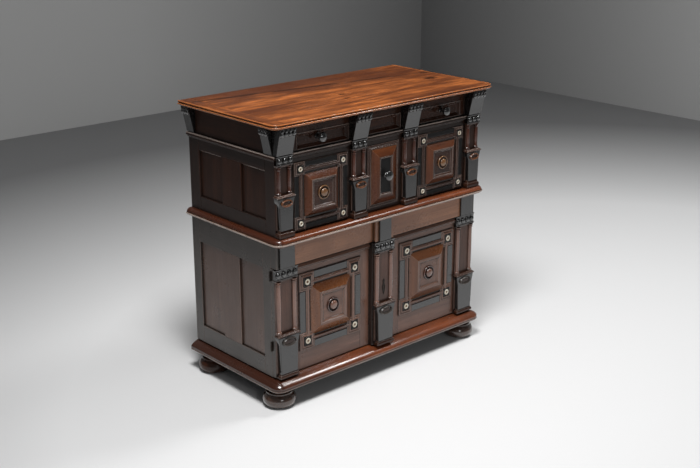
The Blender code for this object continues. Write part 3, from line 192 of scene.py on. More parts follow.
UPPER_PILASTER = column_of(PILASTERS, 0)
LOWER_PILASTER = column_of(PILASTERS, 1)
PILASTER_GROUPS = (
    ("outer_pilasters", "carcass", UPPER_PILASTER, ("upper_left_pilaster", "upper_right_pilaster")),
    ("drawer_pilasters", "deep_drawer", UPPER_PILASTER, ("drawer_left_pilaster", "drawer_right_pilaster")),
    ("left_pilaster", "left_door", LOWER_PILASTER, ("left_door_pilaster",)),
    ("right_pilasters", "right_door", LOWER_PILASTER, ("right_door_pilaster", "centre_pilaster")),
)
NECK_HEIGHT = 0.007
NECK = mm((-3.5, -7), (-2, -6), (-1, -1.5), (-0.5, 0))
CAP_FOOT = mm((0, 0), (0, 3), (-2, 4.5))
CAP_HEAD = mm((-2, -7.5), (-0.8, -6), (0, -4.5), (0, 0))
BOSS_SINK, BOSS_FALL = 0.002, 0.001
SHAFT_FOOT = [(1.30, 0.0), (1.30, 0.0035), (1.05, 0.0045), (1.22, 0.0065), (1.22, 0.0085), (0.98, 0.0105),
              (0.90, 0.0140)]
SHAFT_BELLY = ((1.00, 0.30), (1.02, 0.50))
SHAFT_HEAD = ((0.94, -0.0180), (0.90, -0.0140), (1.18, -0.0115), (1.18, -0.0090), (0.92, -0.0070),
              (1.10, -0.0045), (1.28, -0.0030), (1.28, 0.0))
CONSOLE_BEND = (0.0, 0.12, 0.28, 0.45, 0.62, 0.80, 1.0)
CONSOLE_TAPER = (0.6, 0.55)
CONSOLE_LAP = 0.002
CONSOLE_ARRIS = 0.0016
SILL = mm((0, 0), (1.2, 1), (3, 3.5), (3.6, 5), (3.6, 7), (1, 8.2), (-2, 10))
SILL_HEAD = -0.0030
EYE_RIM = mm((-6.2, -3), (-5, -0.4), (-3, 3.4), (-0.8, 6.8), (1.2, 8.2), (3.2, 7.6), (5, 4.6), (6, -1), (0, -4))
EYE_RIM_WIDE, EYE_RIM_HIGH = 0.0065, 0.0060
EYE_LEAN = 0.8
EYE_DISH = ((1.0, 0.0020), (0.70, 0.0004), (0.35, -0.0002), (0.05, -0.0004))
EYE_WALL = 0.0045
PLINTH_MOULD = mm((0, -6), (-0.6, -3.5), (-2.5, -1), (-4.2, 0), (-4.2, 1.5), (-5, 4))
PLINTH_HEAD = -0.0065
PLINTH_PROUD = 0.0020

# Raised squares of the drawer and the doors: insets from the outer edge, and the works that parts belong to
SQUARES = {
    "corner": (0.056, 0.078),
    "disc": (0.0104, 0.013),
    "plate": (0.030, 0.038),
    "bar": ("dull", "black"),
    "head": (0.0260, 0.0270),
    "bar_inset": (0.002, 0.0015),
    "bar_width": (0.020, 0.0305),
    "frame_inset": (0.0245, 0.0338),
    "pocket_inset": (0.044, 0.0525),
    "raised_inset": (0.0515, 0.0580),
    "table_inset": (0.0765, 0.0960),
    "recess_inset": (0.0885, 0.113),
    "ring": (0.0295, 0.0325),
    "rim": ("gold", "column"),
    "button": ("gold", "eye"),
    "woods": ({}, {"red": "Red Walnut", "mould": "Door Walnut", "eye": "Column Pale"}),
}
DRAWER_SQUARE = column_of(SQUARES, 0)
DOOR_SQUARE = column_of(SQUARES, 1)
SQUARE_GROUPS = (
    ("drawer_squares", "deep_drawer", DRAWER_SQUARE, ("drawer_left_square", "drawer_right_square")),
    ("left_square", "left_door", DOOR_SQUARE, ("left_door_square",)),
    ("right_square", "right_door", DOOR_SQUARE, ("right_door_square",)),
)
GROUND_LAYERS = mm((0, 0), (0, 4))
BAR_LAYERS = mm((0, 2), (0, 6), (1.2, 7.2))
FRAME_OUTER = mm((0, 2), (0, 6.6), (1.6, 8.4), (3.6, 9.2), (5.2, 7.8), (6.2, 9.6), (8, 11.2))
FRAME_INNER = mm((-6, 11.6), (-3.2, 10.4), (-1.4, 7.6), (0, 5.2), (0, 2))
SLOPE_FOOT = mm((0, 3), (0, 6), (1.2, 7.2))
SLOPE_BACK, SLOPE_FALL = 0.0030, 0.0014
TABLE_OUTER = mm((0, -9.5), (0, -0.8), (1.2, 0))
TABLE_INNER = mm((-7, 0), (-5.8, -1.8), (-4.6, -1.2), (0.6, -6.2), (1.8, -5.6), (3.4, -7.5), (3.4, -9.5))
FIELD_LAYERS = mm((0, -13.5), (0, -7.5))
FIELD_LAP = 0.004
RING_FALL = 0.0077
RING_RIM = ((1.0, -0.0010), (1.0, 0.0030), (0.98, 0.0052), (0.93, 0.0066), (0.87, 0.0068), (0.82, 0.0058),
            (0.79, 0.0036), (0.78, 0.0006))
RING_GROOVE = ((0.80, 0.0), (0.80, 0.0012), (0.50, 0.0012))
RING_BUTTON = ((0.54, 0.0008), (0.60, 0.0030), (0.61, 0.0052), (0.57, 0.0084), (0.48, 0.0110), (0.34, 0.0128),
               (0.18, 0.0136), (0.04, 0.0138))
BLOCK_GAP = 0.0006
BLOCK_EDGE = mm((0, 2), (0, 6.6), (1.2, 8))
BLOCK_STEPS = ((0.30, 0.0088), (0.42, 0.0070), (0.50, 0.0098), (0.62, 0.0110), (0.84, 0.0114), (1.0, 0.0088),
               (1.0, 0.0020))
PLATE_LAYERS = mm((0.4, 2), (0.4, 11.2), (1.6, 12.6))
PLATE_TOP = 0.0124
BONE_RING = ((0.42, -0.001), (0.44, 0.0010), (0.52, 0.0019), (0.70, 0.0024), (0.88, 0.0019), (0.98, 0.0008),
             (1.0, -0.001))
BONE_STUD = ((0.41, -0.0005), (0.39, 0.0008), (0.26, 0.0016), (0.04, 0.0020))

# Tall middle panel of the deep drawer
PANEL_RIM = mm((-12, 0), (-12, 3), (-10.4, 4.4), (-5, 4.8), (-3, 3.4), (0, 6.2), (1.6, 8), (4.6, 8.6), (6, 7),
               (6, 0))
PANEL_SLOPE = mm((6.2, 0), (6.2, 9.5), (7.2, 10.4), (40, 23.2), (40, 0))
PANEL_TABLE = mm((40, 10), (40, 23.6), (41, 24.2), (44, 24.2), (45, 23), (45.8, 23.4), (50, 19.8), (50, 10))
PANEL_FIELD = mm((0, 10), (0, 19.8))
PANEL_FIELD_INSET = 0.0490

# Turnings: knobs as shares of radius and length, feet as shares of the radius with a height
KNOB_TURNING = (
    (0.50, 0.0), (0.52, 0.02), (0.52, 0.07), (0.46, 0.10), (0.40, 0.15), (0.38, 0.24), (0.38, 0.36),
    (0.44, 0.44), (0.60, 0.49), (0.66, 0.51), (0.66, 0.54), (0.80, 0.56), (0.92, 0.60), (0.985, 0.66),
    (1.0, 0.72), (0.98, 0.78), (0.92, 0.84), (0.84, 0.87), (0.78, 0.875), (0.72, 0.895), (0.58, 0.935),
    (0.42, 0.965), (0.26, 0.985), (0.16, 0.985), (0.12, 0.995), (0.04, 1.0),
)
KNOB_GROUPS = (
    ("frieze_knobs", "frieze_drawer", ("frieze_left_knob", "frieze_right_knob")),
    ("deep_knob", "deep_drawer", ("deep_drawer_knob",)),
)
FOOT_TURNING = [(0.50, 0.0), (0.545, 0.002), (0.60, 0.0045)]
FOOT_TURNING += arc((0.55, 0.0315), (0.45, 0.0317), -56, 50, 14)
FOOT_TURNING += [(0.80, 0.0580), (0.785, 0.0600), (0.80, 0.0620), (0.79, 0.0655), (0.70, 0.0695), (0.64, 0.0715),
                 (0.62, 0.0730)]
FOOT_NECK = 0.62

# Doors and the rail over them
DOOR_MOULD = mm((0, -2), (0, 5), (2, 7.8), (5, 8.6), (6.6, 7), (8, 9.8), (10.4, 10.6), (25, 3), (26.2, -2))
DOOR_MOULD_DROP = 0.0267
DOOR_MOULD_GAP = 0.001
RAIL_FACE = -0.2555
RAIL_END = 0.052
RAIL_MIDDLE_HALF, RAIL_MIDDLE_PROUD = 0.052, 0.014
RAIL_BLOCKS = (
    (-0.520, 0.0382, mm((0, -1), (0, 6.2), (1.6, 8))),
    (0.520, 0.0382, mm((0, -1), (0, 6.2), (1.6, 8))),
    (0.0, 0.033, mm((0, 13), (0, 21.2), (1.6, 23))),
)

# Drawer boxes, backs and ironwork
TRAY_WALL, TRAY_BACK_DROP, TRAY_PLANKS = 0.010, 0.006, 4
TRAY_FLOOR = (0.001, 0.009)
BACKS = (("upper_back", 7, "Dark Carcass"), ("lower_back", 6, "Frame Brown"))
BACK_STILE = 0.070
LEAF_ARRIS, LOCK_ARRIS = 0.0002, 0.0003
PIN = mm((2.2, -0.5), (2.1, 0.6), (1.4, 1.4), (0.3, 1.7))
PIN_INSET = 0.008

# Sides of the round shapes, and the arc of a boss in degrees
SHAFT_SIDES, DROP_SIDES, DISH_SIDES = 28, 16, 32
RIM_SIDES, BUTTON_SIDES, BONE_SIDES, STUD_SIDES = 48, 40, 32, 20
KNOB_SIDES, FOOT_SIDES, PIN_SIDES = 48, 64, 16
EGG_START, EGG_END = -25, 88

# Edges and grain of every piece
SHARP_ANGLE = math.radians(38)
BEVEL_ANGLE = math.radians(30)
BEVEL_STEPS = 2
WELD_REACH = 0.00001
GRAIN_SHIFT = Vector((1.37, 0.531, 0.713))
GRAIN_AXES = {"X": (0, 1, 2), "Y": (1, 0, 2), "Z": (2, 0, 1)}

# Shapes


def loft(rings, closed=False):
    """Skins equal rings of points. Open ends get a cap."""
    points = [point for ring in rings for point in ring]
    count = len(rings[0])
    spans = len(rings) if closed else len(rings) - 1
    faces = []
    for k in range(spans):
        here = k * count
        there = (k + 1) % len(rings) * count
        for i in range(count):
            j = (i + 1) % count
            faces.append((here + i, here + j, there + j, there + i))
    if not closed:
        last = (len(rings) - 1) * count
        faces.append(tuple(reversed(range(count))))
        faces.append(tuple(last + i for i in range(count)))
    return points, faces


def rectangle(u0, u1, v0, v1):
    return [(u0, v0), (u1, v0), (u1, v1), (u0, v1)]


def board(lo, hi):
    """A plain board between two corners."""
    foot = rectangle(lo[0], hi[0], lo[1], hi[1])
    return loft([[(x, y, z) for x, y in foot] for z in (lo[2], hi[2])])


def inset(outline, amount):
    """Moves each side of an anticlockwise outline inwards, with mitred corners."""
    count = len(outline)
    result = []
    for k in range(count):
        here = outline[k]
        normals = []
        for start, end in ((outline[k - 1], here), (here, outline[(k + 1) % count])):
            run = end[0] - start[0]
            rise = end[1] - start[1]
            length = math.hypot(run, rise)
            normals.append((-rise / length, run / length))
        (ax, ay), (bx, by) = normals
        reach = amount / (1 + ax * bx + ay * by)
        result.append((here[0] + (ax + bx) * reach, here[1] + (ay + by) * reach))
    return result


def clipped(outline, point, normal):
    """The part of a convex outline on the side that the normal points to."""
    result = []
    for k, here in enumerate(outline):
        after = outline[(k + 1) % len(outline)]
        a = (here[0] - point[0]) * normal[0] + (here[1] - point[1]) * normal[1]
        b = (after[0] - point[0]) * normal[0] + (after[1] - point[1]) * normal[1]
        if a >= 0:
            result.append(here)
        if a * b < 0:
            share = a / (a - b)
            result.append((here[0] + (after[0] - here[0]) * share, here[1] + (after[1] - here[1]) * share))
    return result


def on_front(y):
    return lambda u, v, out: (u, y - out, v)


def on_side(x, sign):
    return lambda u, v, out: (x + sign * out, u, v)


def spot_front(x, y, z):
    return lambda u, v, out: (x + u, y - out, z + v)


def spot_up(x, y, z):
    return lambda u, v, out: (x + u, y + v, z + out)


def layered(outline, layers, place):
    """Skins an outline through layers of inset and height."""
    return loft([[place(u, v, height) for u, v in inset(outline, step)] for step, height in layers])


def mitred(outline, profile, place):
    """The members of a frame: one profile of inset and height, mitred at the corners of an outline."""
    count = len(outline)
    edges = [inset(outline, step) for step, _ in profile]
    members = []
    for k in range(count):
        ends = []
        for corner in (k, (k + 1) % count):
            ends.append([place(*edge[corner], height) for edge, (_, height) in zip(edges, profile)])
        members.append(loft(ends))
    return members


def oval(wide, high, segments):
    turns = [2 * math.pi * k / segments for k in range(segments)]
    return [(wide * math.cos(turn), high * math.sin(turn)) for turn in turns]


def turned(profile, place, segments, radius=1.0, length=1.0):
    """A turned shape from a profile of radius and travel, each times its size."""
    rings = []
    for reach, travel in profile:
        ring = oval(radius * reach, radius * reach, segments)
        rings.append([place(u, v, length * travel) for u, v in ring])
    return loft(rings)


def egg(place, wide, high, deep, segments=24, steps=10):
    """A rounded boss about a spot, cut off a little below its middle."""
    rings = []
    for reach, rise in arc((0.0, 0.0), (1.0, 1.0), EGG_START, EGG_END, steps):
        rings.append([place(u, v, deep * rise) for u, v in oval(wide * reach, high * reach, segments)])
    return loft(rings)


def oval_ring(place, wide, high, section, segments=48):
    """A ring on an oval, broad below and thin above, from a closed section of spread and height."""
    rings = []
    for k in range(segments):
        turn = 2 * math.pi * k / segments
        lean = 1 - EYE_LEAN * math.sin(turn)
        ring = []
        for out, height in section:
            spread = out * lean if out < 0 else out
            ring.append(place((wide + spread) * math.cos(turn), (high + spread) * math.sin(turn), height))
        rings.append(ring)
    return loft(rings, closed=True)


def moulded_block(x, half, back, depth, foot, profile):
    """A block on a front whose face and ends follow a profile of projection and height."""
    rings = []
    for out, rise in profile:
        outline = rectangle(x - half - out, x + half + out, back - depth - out, back)
        rings.append([(u, v, foot + rise) for u, v in outline])
    return loft(rings)


def rounded(lo, hi, step):
    """The outline of a board, set in by a step, with rounded front corners."""
    corner = max(CORNER_RADIUS - step, LEAST_CORNER)
    front = lo.y + step + corner
    left = arc((step - hi.x + corner, front), (corner, corner), 180, 270, CORNER_STEPS)
    right = arc((hi.x - step - corner, front), (corner, corner), 270, 360, CORNER_STEPS)
    return left + right + [(hi.x - step, hi.y), (step - hi.x, hi.y)]


def lipped(lo, hi, profile):
    """A board with rounded front corners, whose front and ends follow a profile of inset and height."""
    return loft([[(u, v, lo.z + rise) for u, v in rounded(lo, hi, step)] for step, rise in profile])


class Work:
    """Collects the boards of one piece that share a body and a finish."""

    def __init__(self, name, body, finish_name, slot, worn=None, arris=None):
        self.name = name
        self.body = body
        self.finish_name = finish_name
        self.slot = slot
        self.worn = worn
        self.arris = arris
        self.points = []
        self.faces = []
        self.grain = []
        self.boards = 0

    def add(self, shape, along):
        points, faces = shape
        start = len(self.points)
        self.boards += 1
        shift = GRAIN_SHIFT * self.boards
        self.points.extend(points)
        self.grain.extend(Vector([point[k] for k in GRAIN_AXES[along]]) + shift for point in points)
        self.faces.extend(tuple(start + k for k in face) for face in faces)

    def add_frame(self, members):
        for k, member in enumerate(members):
            self.add(member, "Z" if k % 2 else "X")

    def build(self, *nodes):
        mesh = bpy.data.meshes.new(self.name)
        mesh.from_pydata(self.points, [], self.faces)
        attribute = mesh.attributes.new("grain", "FLOAT_VECTOR", "POINT")
        attribute.data.foreach_set("vector", [value for vector in self.grain for value in vector])
        bm = bmesh.new()
        bm.from_mesh(mesh)
        bmesh.ops.recalc_face_normals(bm, faces=bm.faces)
        for face in bm.faces:
            face.smooth = True
        bm.to_mesh(mesh)
        bm.free()
        obj = bpy.data.objects.new(self.name, mesh)
        bpy.context.scene.collection.objects.link(obj)
        mesh.materials.append(finish(self.finish_name))
        if self.arris is None:
            mesh.set_sharp_from_angle(angle=SHARP_ANGLE)
        else:
            # the bevelled edges take the rubbed-edge finish: partly wear, partly a painted highlight
            if self.worn is not None:
                mesh.materials.append(finish(self.worn))
            soften(obj, self.arris, 1 if self.worn is not None else -1)
        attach(obj, self.body)
        if nodes:
            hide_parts(*nodes)


def soften(obj, width, material=-1):
    """Rounds the sharp edges of a piece by a little."""
    bevel = obj.modifiers.new("Arris", "BEVEL")
    bevel.width = width
    bevel.segments = BEVEL_STEPS
    bevel.limit_method = "ANGLE"
    bevel.angle_limit = BEVEL_ANGLE
    bevel.use_clamp_overlap = False
    bevel.harden_normals = True
    bevel.material = material


def dress(node, finish_name, width):
    """Gives a CAD node its finish and softened edges."""
    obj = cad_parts[node]
    material = finish(finish_name)
    if not obj.data.materials:
        obj.data.materials.append(material)
    for slot in obj.material_slots:
        slot.material = material
    weld = obj.modifiers.new("Weld", "WELD")
    weld.merge_threshold = WELD_REACH
    soften(obj, width)


# Finishes

# Colours: field, what it is for, the colour, and the darker colour of its figure
TONES = (
    ("top", "top board", (0.61, 0.182, 0.042), (0.078, 0.021, 0.0075)),
    ("rear", "rear plank of the top", (0.33, 0.098, 0.024), None),
    ("edge", "moulded edge of the top", (0.120, 0.034, 0.013), (0.040, 0.012, 0.006)),
    ("red", "raised squares of the doors", (0.200, 0.070, 0.022), (0.070, 0.022, 0.008)),
    ("drawer", "raised squares of the drawer", (0.160, 0.044, 0.012), (0.042, 0.012, 0.005)),
    ("bright", "moulded shelf", (0.245, 0.062, 0.018), (0.072, 0.018, 0.007)),
    ("base", "moulded base", (0.300, 0.080, 0.026), (0.060, 0.018, 0.009)),
    ("foot", "front feet", (0.085, 0.046, 0.033), (0.032, 0.017, 0.012)),
    ("frieze", "rail over the doors", (0.420, 0.186, 0.092), (0.160, 0.065, 0.032)),
    ("backing", "lower pilasters", (0.128, 0.061, 0.043), (0.040, 0.018, 0.012)),
    ("panel", "panels of the upper sides", (0.052, 0.019, 0.010), (0.018, 0.007, 0.004)),
    ("frame", "frames of the lower sides", (0.062, 0.050, 0.042), (0.030, 0.023, 0.019)),
    ("column", "split columns of the upper stage", (0.085, 0.026, 0.014), (0.030, 0.009, 0.006)),
    ("pale", "split columns of the doors", (0.250, 0.124, 0.086), (0.095, 0.043, 0.030)),
    ("mould", "dark mouldings of the fronts", (0.056, 0.020, 0.011), (0.017, 0.007, 0.004)),
    ("door", "fields of the doors", (0.230, 0.110, 0.071), (0.084, 0.037, 0.024)),
    ("dark", "carcass wood", (0.030, 0.013, 0.009), (0.011, 0.006, 0.004)),
    ("side", "lower sides", (0.125, 0.068, 0.048), (0.058, 0.030, 0.021)),
    ("ebony", "ebonised wood", (0.010, 0.0095, 0.0095), (0.004, 0.004, 0.004)),
    ("gold", "turned bosses", (0.24, 0.115, 0.042), (0.085, 0.034, 0.013)),
    # The rubbed-edge colours below are partly wear and partly a painted highlight: pale lines along arrises and
    # beads where light would catch
    ("worn", "rubbed edges of the top", (0.42, 0.18, 0.075), None),
    ("worn_red", "rubbed edges of the reddish walnut", (0.30, 0.150, 0.085), None),
    ("worn_dark", "rubbed edges of the dark mouldings", (0.240, 0.185, 0.158), None),
    ("rubbed", "beads rubbed pale", (0.500, 0.410, 0.360), None),
    # Painted shade: the near-black colour that ambient occlusion lays into grooves and corners
    ("grime", "painted shade in the grooves and corners", (0.006, 0.0045, 0.0035), None),
    ("inner", "unpolished inner wood", (0.22, 0.125, 0.062), (0.11, 0.056, 0.026)),
    ("bone", "bone rings", (0.76, 0.72, 0.62), (0.50, 0.42, 0.30)),
    ("iron", "hinges and lock", (0.040, 0.036, 0.033), (0.020, 0.012, 0.008)),
)

# Woods: colour, colour of the figure, colour where worn, roughness, coat, and what differs from the usual
WOODS = {
    "Top Walnut": ("top", "top_deep", "worn", 0.32, 0.0, {
        "figure": 0.9, "specular": 0.1, "stain": 0.7, "mottle": 0.5, "knots": TOP_KNOTS, "seam": TOP_SEAM}),
    "Top Rear": ("rear", "top_deep", "worn", 0.32, 0.0, {
        "figure": 0.9, "specular": 0.1, "stain": 0.8, "mottle": 0.5, "seam": TOP_SEAM}),
    "Top Edge": ("edge", "edge_deep", "worn", 0.22, 0.6, {"stain": 0.4}),
    "Red Walnut": ("red", "red_deep", "worn", 0.28, 0.3, {"relief": 0.12, "stain": 0.5}),
    "Drawer Walnut": ("drawer", "drawer_deep", "red", 0.28, 0.1, {
        "relief": 0.12, "specular": 0.35, "stain": 0.5}),
    # The shelf and base are painted darker towards their left end as shade
    "Bright Moulding": ("bright", "bright_deep", "worn", 0.26, 0.3, {"relief": 0.05, "stain": 0.5, "dusk": 0.6}),
    "Base Moulding": ("base", "base_deep", "worn_red", 0.19, 0.5, {"relief": 0.04, "stain": 0.5, "dusk": 0.8}),
    "Dark Moulding": ("mould", "mould_deep", "worn_dark", 0.20, 0.15, {
        "relief": 0.05, "specular": 0.3, "rub": 0.03}),
    "Door Walnut": ("door", "door_deep", "worn_red", 0.30, 0.25, {"relief": 0.12, "stain": 0.4}),
    "Frieze Walnut": ("frieze", "frieze_deep", "worn_red", 0.28, 0.25, {"relief": 0.12, "stain": 0.6}),
    "Backing Walnut": ("backing", "backing_deep", "worn_red", 0.32, 0.1, {
        "relief": 0.06, "specular": 0.35, "stain": 0.5}),
    "Panel Walnut": ("panel", "panel_deep", "mould", 0.34, 0.0, {"relief": 0.12, "specular": 0.3, "stain": 0.4}),
    "Frame Brown": ("frame", "frame_deep", "worn_dark", 0.30, 0.3, {"relief": 0.12, "stain": 0.3}),
    "Dark Carcass": ("dark", "dark_deep", "mould", 0.32, 0.1, {"relief": 0.12, "specular": 0.4, "stain": 0.3}),
    "Side Walnut": ("side", "side_deep", "worn_dark", 0.30, 0.3, {"stain": 0.5}),
    "Dark Carcass Node": ("dark", "dark_deep", "mould", 0.32, 0.3, {"on_node": "ZXY"}),
    "Ebonised": ("ebony", "ebony_deep", "dark", 0.18, 0.9, {"figure": 0.6, "relief": 0.12}),
    "Black Turning": ("ebony", "ebony_deep", "dark", 0.10, 1.0, {
        "figure": 0.6, "relief": 0.03, "specular": 0.8}),
    "Column Red": ("column", "column_deep", "worn_red", 0.13, 1.0, {"relief": 0.04}),
    "Column Pale": ("pale", "pale_deep", "worn_red", 0.14, 0.9, {"relief": 0.04, "stain": 0.3}),
    "Dull Black": ("ebony", "ebony_deep", "dark", 0.40, 0.0, {"figure": 0.6, "relief": 0.15, "specular": 0.2}),
    "Golden Turning": ("gold", "gold_deep", "worn", 0.20, 0.7, {"relief": 0.06}),
    "Foot Brown": ("foot", "foot_deep", "worn_dark", 0.14, 0.9, {"relief": 0.05, "stain": 0.4}),
    # Finishes of the rubbed edges and beads: partly wear, partly painted highlight
    "Worn Top": ("worn", "top", "worn", 0.25, 0.4, {}),
    "Worn Red": ("worn_red", "red", "worn", 0.25, 0.5, {}),
    "Worn Dark": ("worn_dark", "mould", "worn_dark", 0.25, 0.5, {}),
    "Rubbed Bead": ("rubbed", "worn_dark", "rubbed", 0.22, 0.6, {}),
    "Worn Ebony": ("mould_deep", "ebony", "mould", 0.22, 0.6, {}),
    "Inner Wood": ("inner", "inner_deep", "inner", 0.62, 0.0, {"relief": 0.4, "stain": 0.3}),
    "Inner Wood Node": ("inner", "inner_deep", "inner", 0.62, 0.0, {"relief": 0.4, "on_node": "XYZ"}),
}

# Bone and iron: colour, second colour, roughness, metal and scale of the clouds
PLAIN = {
    "Bone": ("bone", "bone_deep", 0.38, 0.0, 70.0),
    "Old Iron": ("iron", "iron_deep", 0.42, 0.85, 60.0),
}

# Noises: stretch on each axis, detail, roughness, distortion, and the range kept with what it turns into
NOISES = {
    "growth": ((1.6, 17.0, 17.0), 4.0, 0.55, 0.8, None),
    "flame": ((3.2, 58.0, 58.0), 3.0, 0.6, 1.6, None),
    "streak": ((7.0, 210.0, 210.0), 3.0, 0.6, 0.0, (0.30, 0.70, 0.0, 1.0)),
    "pores": ((60.0, 1100.0, 1100.0), 1.0, 0.5, 0.0, (0.60, 0.72, 0.0, 1.0)),
    "polish": ((9.0, 9.0, 9.0), 3.0, 0.6, 0.0, (0.3, 0.7, -0.05, 0.08)),
    "scuffs": ((90.0, 240.0, 90.0), 2.0, 0.6, 0.0, (0.5, 0.8, 0.0, 0.12)),
    "broad rub": ((11.0, 11.0, 11.0), 4.0, 0.65, 0.0, (0.45, 0.75, 0.0, 1.0)),
    "fine rub": ((130.0, 130.0, 130.0), 2.0, 0.6, 0.0, (0.35, 0.75, 0.0, 1.0)),
    "knot edge": ((40.0, 90.0, 40.0), 3.0, 0.6, 0.0, None),
    "seam edge": ((4.5, 22.0, 4.5), 4.0, 0.65, 0.0, (0.40, 0.62, 0.0005, 0.034)),
    "stain": ((1.9, 4.6, 2.5), 3.0, 0.55, 0.6, (0.42, 0.60, 0.0, 1.0)),
    "mottle": ((8.0, 34.0, 12.0), 3.0, 0.55, 0.6, (0.42, 0.60, 0.0, 1.0)),
    "clouds": ((1.0, 1.0, 1.0), 4.0, 0.6, 0.0, (0.35, 0.7, 0.0, 1.0)),
    "specks": ((9.0, 9.0, 9.0), 2.0, 0.6, 0.0, (0.5, 0.75, 0.0, 1.0)),
}

# Strengths of the effects on a wood, and how dark each leaves the colour of the figure
GROWTH_SHARE, FLAME_SHARE = 0.68, 0.32
FIGURE_RANGE = (0.40, 0.60)
FIBRE_SHARE = 0.45
PORE_SHARE, PORE_DARK = 0.55, 0.3
KNOT_DARK, KNOT_SHARE, KNOT_RAGGED = 0.2, 0.95, 0.8
KNOT_SQUEEZE = (0.55, 1.0, 0.0)
KNOT_CORE, KNOT_REACH = 0.80, 1.45
SEAM_DARK = 0.35
SEAM_RANGE = (0.2, 1.0, 0.85, 0.0)
# Painted shade towards the left of the shelf and base, darkest on their left ends
LEFT_SHADE_FROM, LEFT_SHADE_TO = -0.58, 0.10
END_SHADE_RANGE = (-0.576, -0.560, 1.0, 0.0)
END_SHADE_DARK = 0.75
# Painted shade in grooves and corners: occlusion reach and samples, share, and the occlusion range it fades over
GROOVE_SHADE_REACH, GROOVE_SHADE_SAMPLES, GROOVE_SHADE_SHARE = 0.014, 6, 0.96
GROOVE_SHADE_DEEP, GROOVE_SHADE_OPEN = 0.38, 0.92
COAT_ROUGHNESS = 0.18
GRAIN_DEPTH = 0.0006
SPECK_SHARE, SPECK_DARK, SPECK_RELIEF, SPECK_DEPTH = 0.5, 0.5, 0.3, 0.0004


def vector_maths(tree, operation, source, value=None):
    node = tree.nodes.new("ShaderNodeVectorMath")
    node.operation = operation
    if value is not None:
        node.inputs[1].default_value = value
    tree.links.new(source, node.inputs[0])
    return node.outputs["Vector" if operation in ("SUBTRACT", "MULTIPLY") else "Value"]


def remap(tree, source, low, high, to_low=0.0, to_high=1.0):
    node = tree.nodes.new("ShaderNodeMapRange")
    node.inputs["From Min"].default_value = low
    node.inputs["From Max"].default_value = high
    node.inputs["To Min"].default_value = to_low
    node.inputs["To Max"].default_value = to_high
    tree.links.new(source, node.inputs["Value"])
    return node.outputs["Result"]


def noise(tree, source, name, scale=1.0):
    """The named noise, stretched along its axes."""
    stretch, detail, roughness, distortion, kept = NOISES[name]
    node = tree.nodes.new("ShaderNodeTexNoise")
    node.inputs["Scale"].default_value = 1.0
    node.inputs["Detail"].default_value = detail
    node.inputs["Roughness"].default_value = roughness
    node.inputs["Distortion"].default_value = distortion
    vector = vector_maths(tree, "MULTIPLY", source, [scale * value for value in stretch])
    tree.links.new(vector, node.inputs["Vector"])
    return node.outputs["Fac"] if kept is None else remap(tree, node.outputs["Fac"], *kept)


def maths(tree, operation, a, b):
    node = tree.nodes.new("ShaderNodeMath")
    node.operation = operation
    for socket, value in zip(node.inputs, (a, b)):
        if isinstance(value, (int, float)):
            socket.default_value = value
        else:
            tree.links.new(value, socket)
    return node.outputs["Value"]


def mixed(tree, share, a, b):
    node = tree.nodes.new("ShaderNodeMix")
    node.data_type = "RGBA"
    colours = [socket for socket in node.inputs if socket.type == "RGBA"]
    for socket, value in zip((node.inputs[0], *colours), (share, a, b)):
        if isinstance(value, bpy.types.NodeSocket):
            tree.links.new(value, socket)
        else:
            socket.default_value = (*value, 1.0)
    return [socket for socket in node.outputs if socket.type == "RGBA"][0]


def laid(tree, base, mask, share, colour):
    """Lays a colour on the base through a share of a mask."""
    return mixed(tree, maths(tree, "MULTIPLY", mask, share), base, colour)


def darker(colour, share):
    return [share * part for part in colour]


def fill_grain(tree, entry):
    """Growth figure, fibre streaks and pores, with the grain along X of the vector."""
    vector = entry["Vector"]
    growth = maths(tree, "MULTIPLY", noise(tree, vector, "growth"), GROWTH_SHARE)
    flame = maths(tree, "MULTIPLY", noise(tree, vector, "flame"), FLAME_SHARE)
    figure = remap(tree, maths(tree, "ADD", growth, flame), *FIGURE_RANGE)
    return {"Figure": figure, "Streak": noise(tree, vector, "streak"), "Pores": noise(tree, vector, "pores")}


def fill_polish(tree, entry):
    """Roughness of an old hand polish: a base with slow clouds and fine scuffs."""
    vector = entry["Vector"]
    clouded = maths(tree, "ADD", entry["Base"], noise(tree, vector, "polish"))
    return {"Roughness": maths(tree, "ADD", clouded, noise(tree, vector, "scuffs"))}


def fill_rubbed(tree, entry):
    """Where an old finish has rubbed through, as a mask of patches."""
    vector = entry["Vector"]
    return {"Mask": maths(tree, "MULTIPLY", noise(tree, vector, "broad rub"), noise(tree, vector, "fine rub"))}


# Shared node groups: what fills them, their values besides the vector, and their outputs
GROUPS = {
    "Timber Grain": (fill_grain, {}, ("Figure", "Streak", "Pores")),
    "Old Polish": (fill_polish, {"Base": 0.3}, ("Roughness",)),
    "Rubbed Patches": (fill_rubbed, {}, ("Mask",)),
}


def use_group(tree, name, vector, **values):
    """Places a shared node group, which is built at its first use."""
    if name not in bpy.data.node_groups:
        build_group(name)
    node = tree.nodes.new("ShaderNodeGroup")
    node.node_tree = bpy.data.node_groups[name]
    for label, value in values.items():
        node.inputs[label].default_value = value
    tree.links.new(vector, node.inputs["Vector"])
    return node.outputs


def build_group(name):
    fill, values, outputs = GROUPS[name]
    tree = bpy.data.node_groups.new(name, "ShaderNodeTree")
    tree.interface.new_socket("Vector", in_out="INPUT", socket_type="NodeSocketVector")
    for label, value in values.items():
        socket = tree.interface.new_socket(label, in_out="INPUT", socket_type="NodeSocketFloat")
        socket.default_value = value
    for label in outputs:
        tree.interface.new_socket(label, in_out="OUTPUT", socket_type="NodeSocketFloat")
    entry = tree.nodes.new("NodeGroupInput").outputs
    leave = tree.nodes.new("NodeGroupOutput").inputs
    for label, socket in fill(tree, entry).items():
        tree.links.new(socket, leave[label])


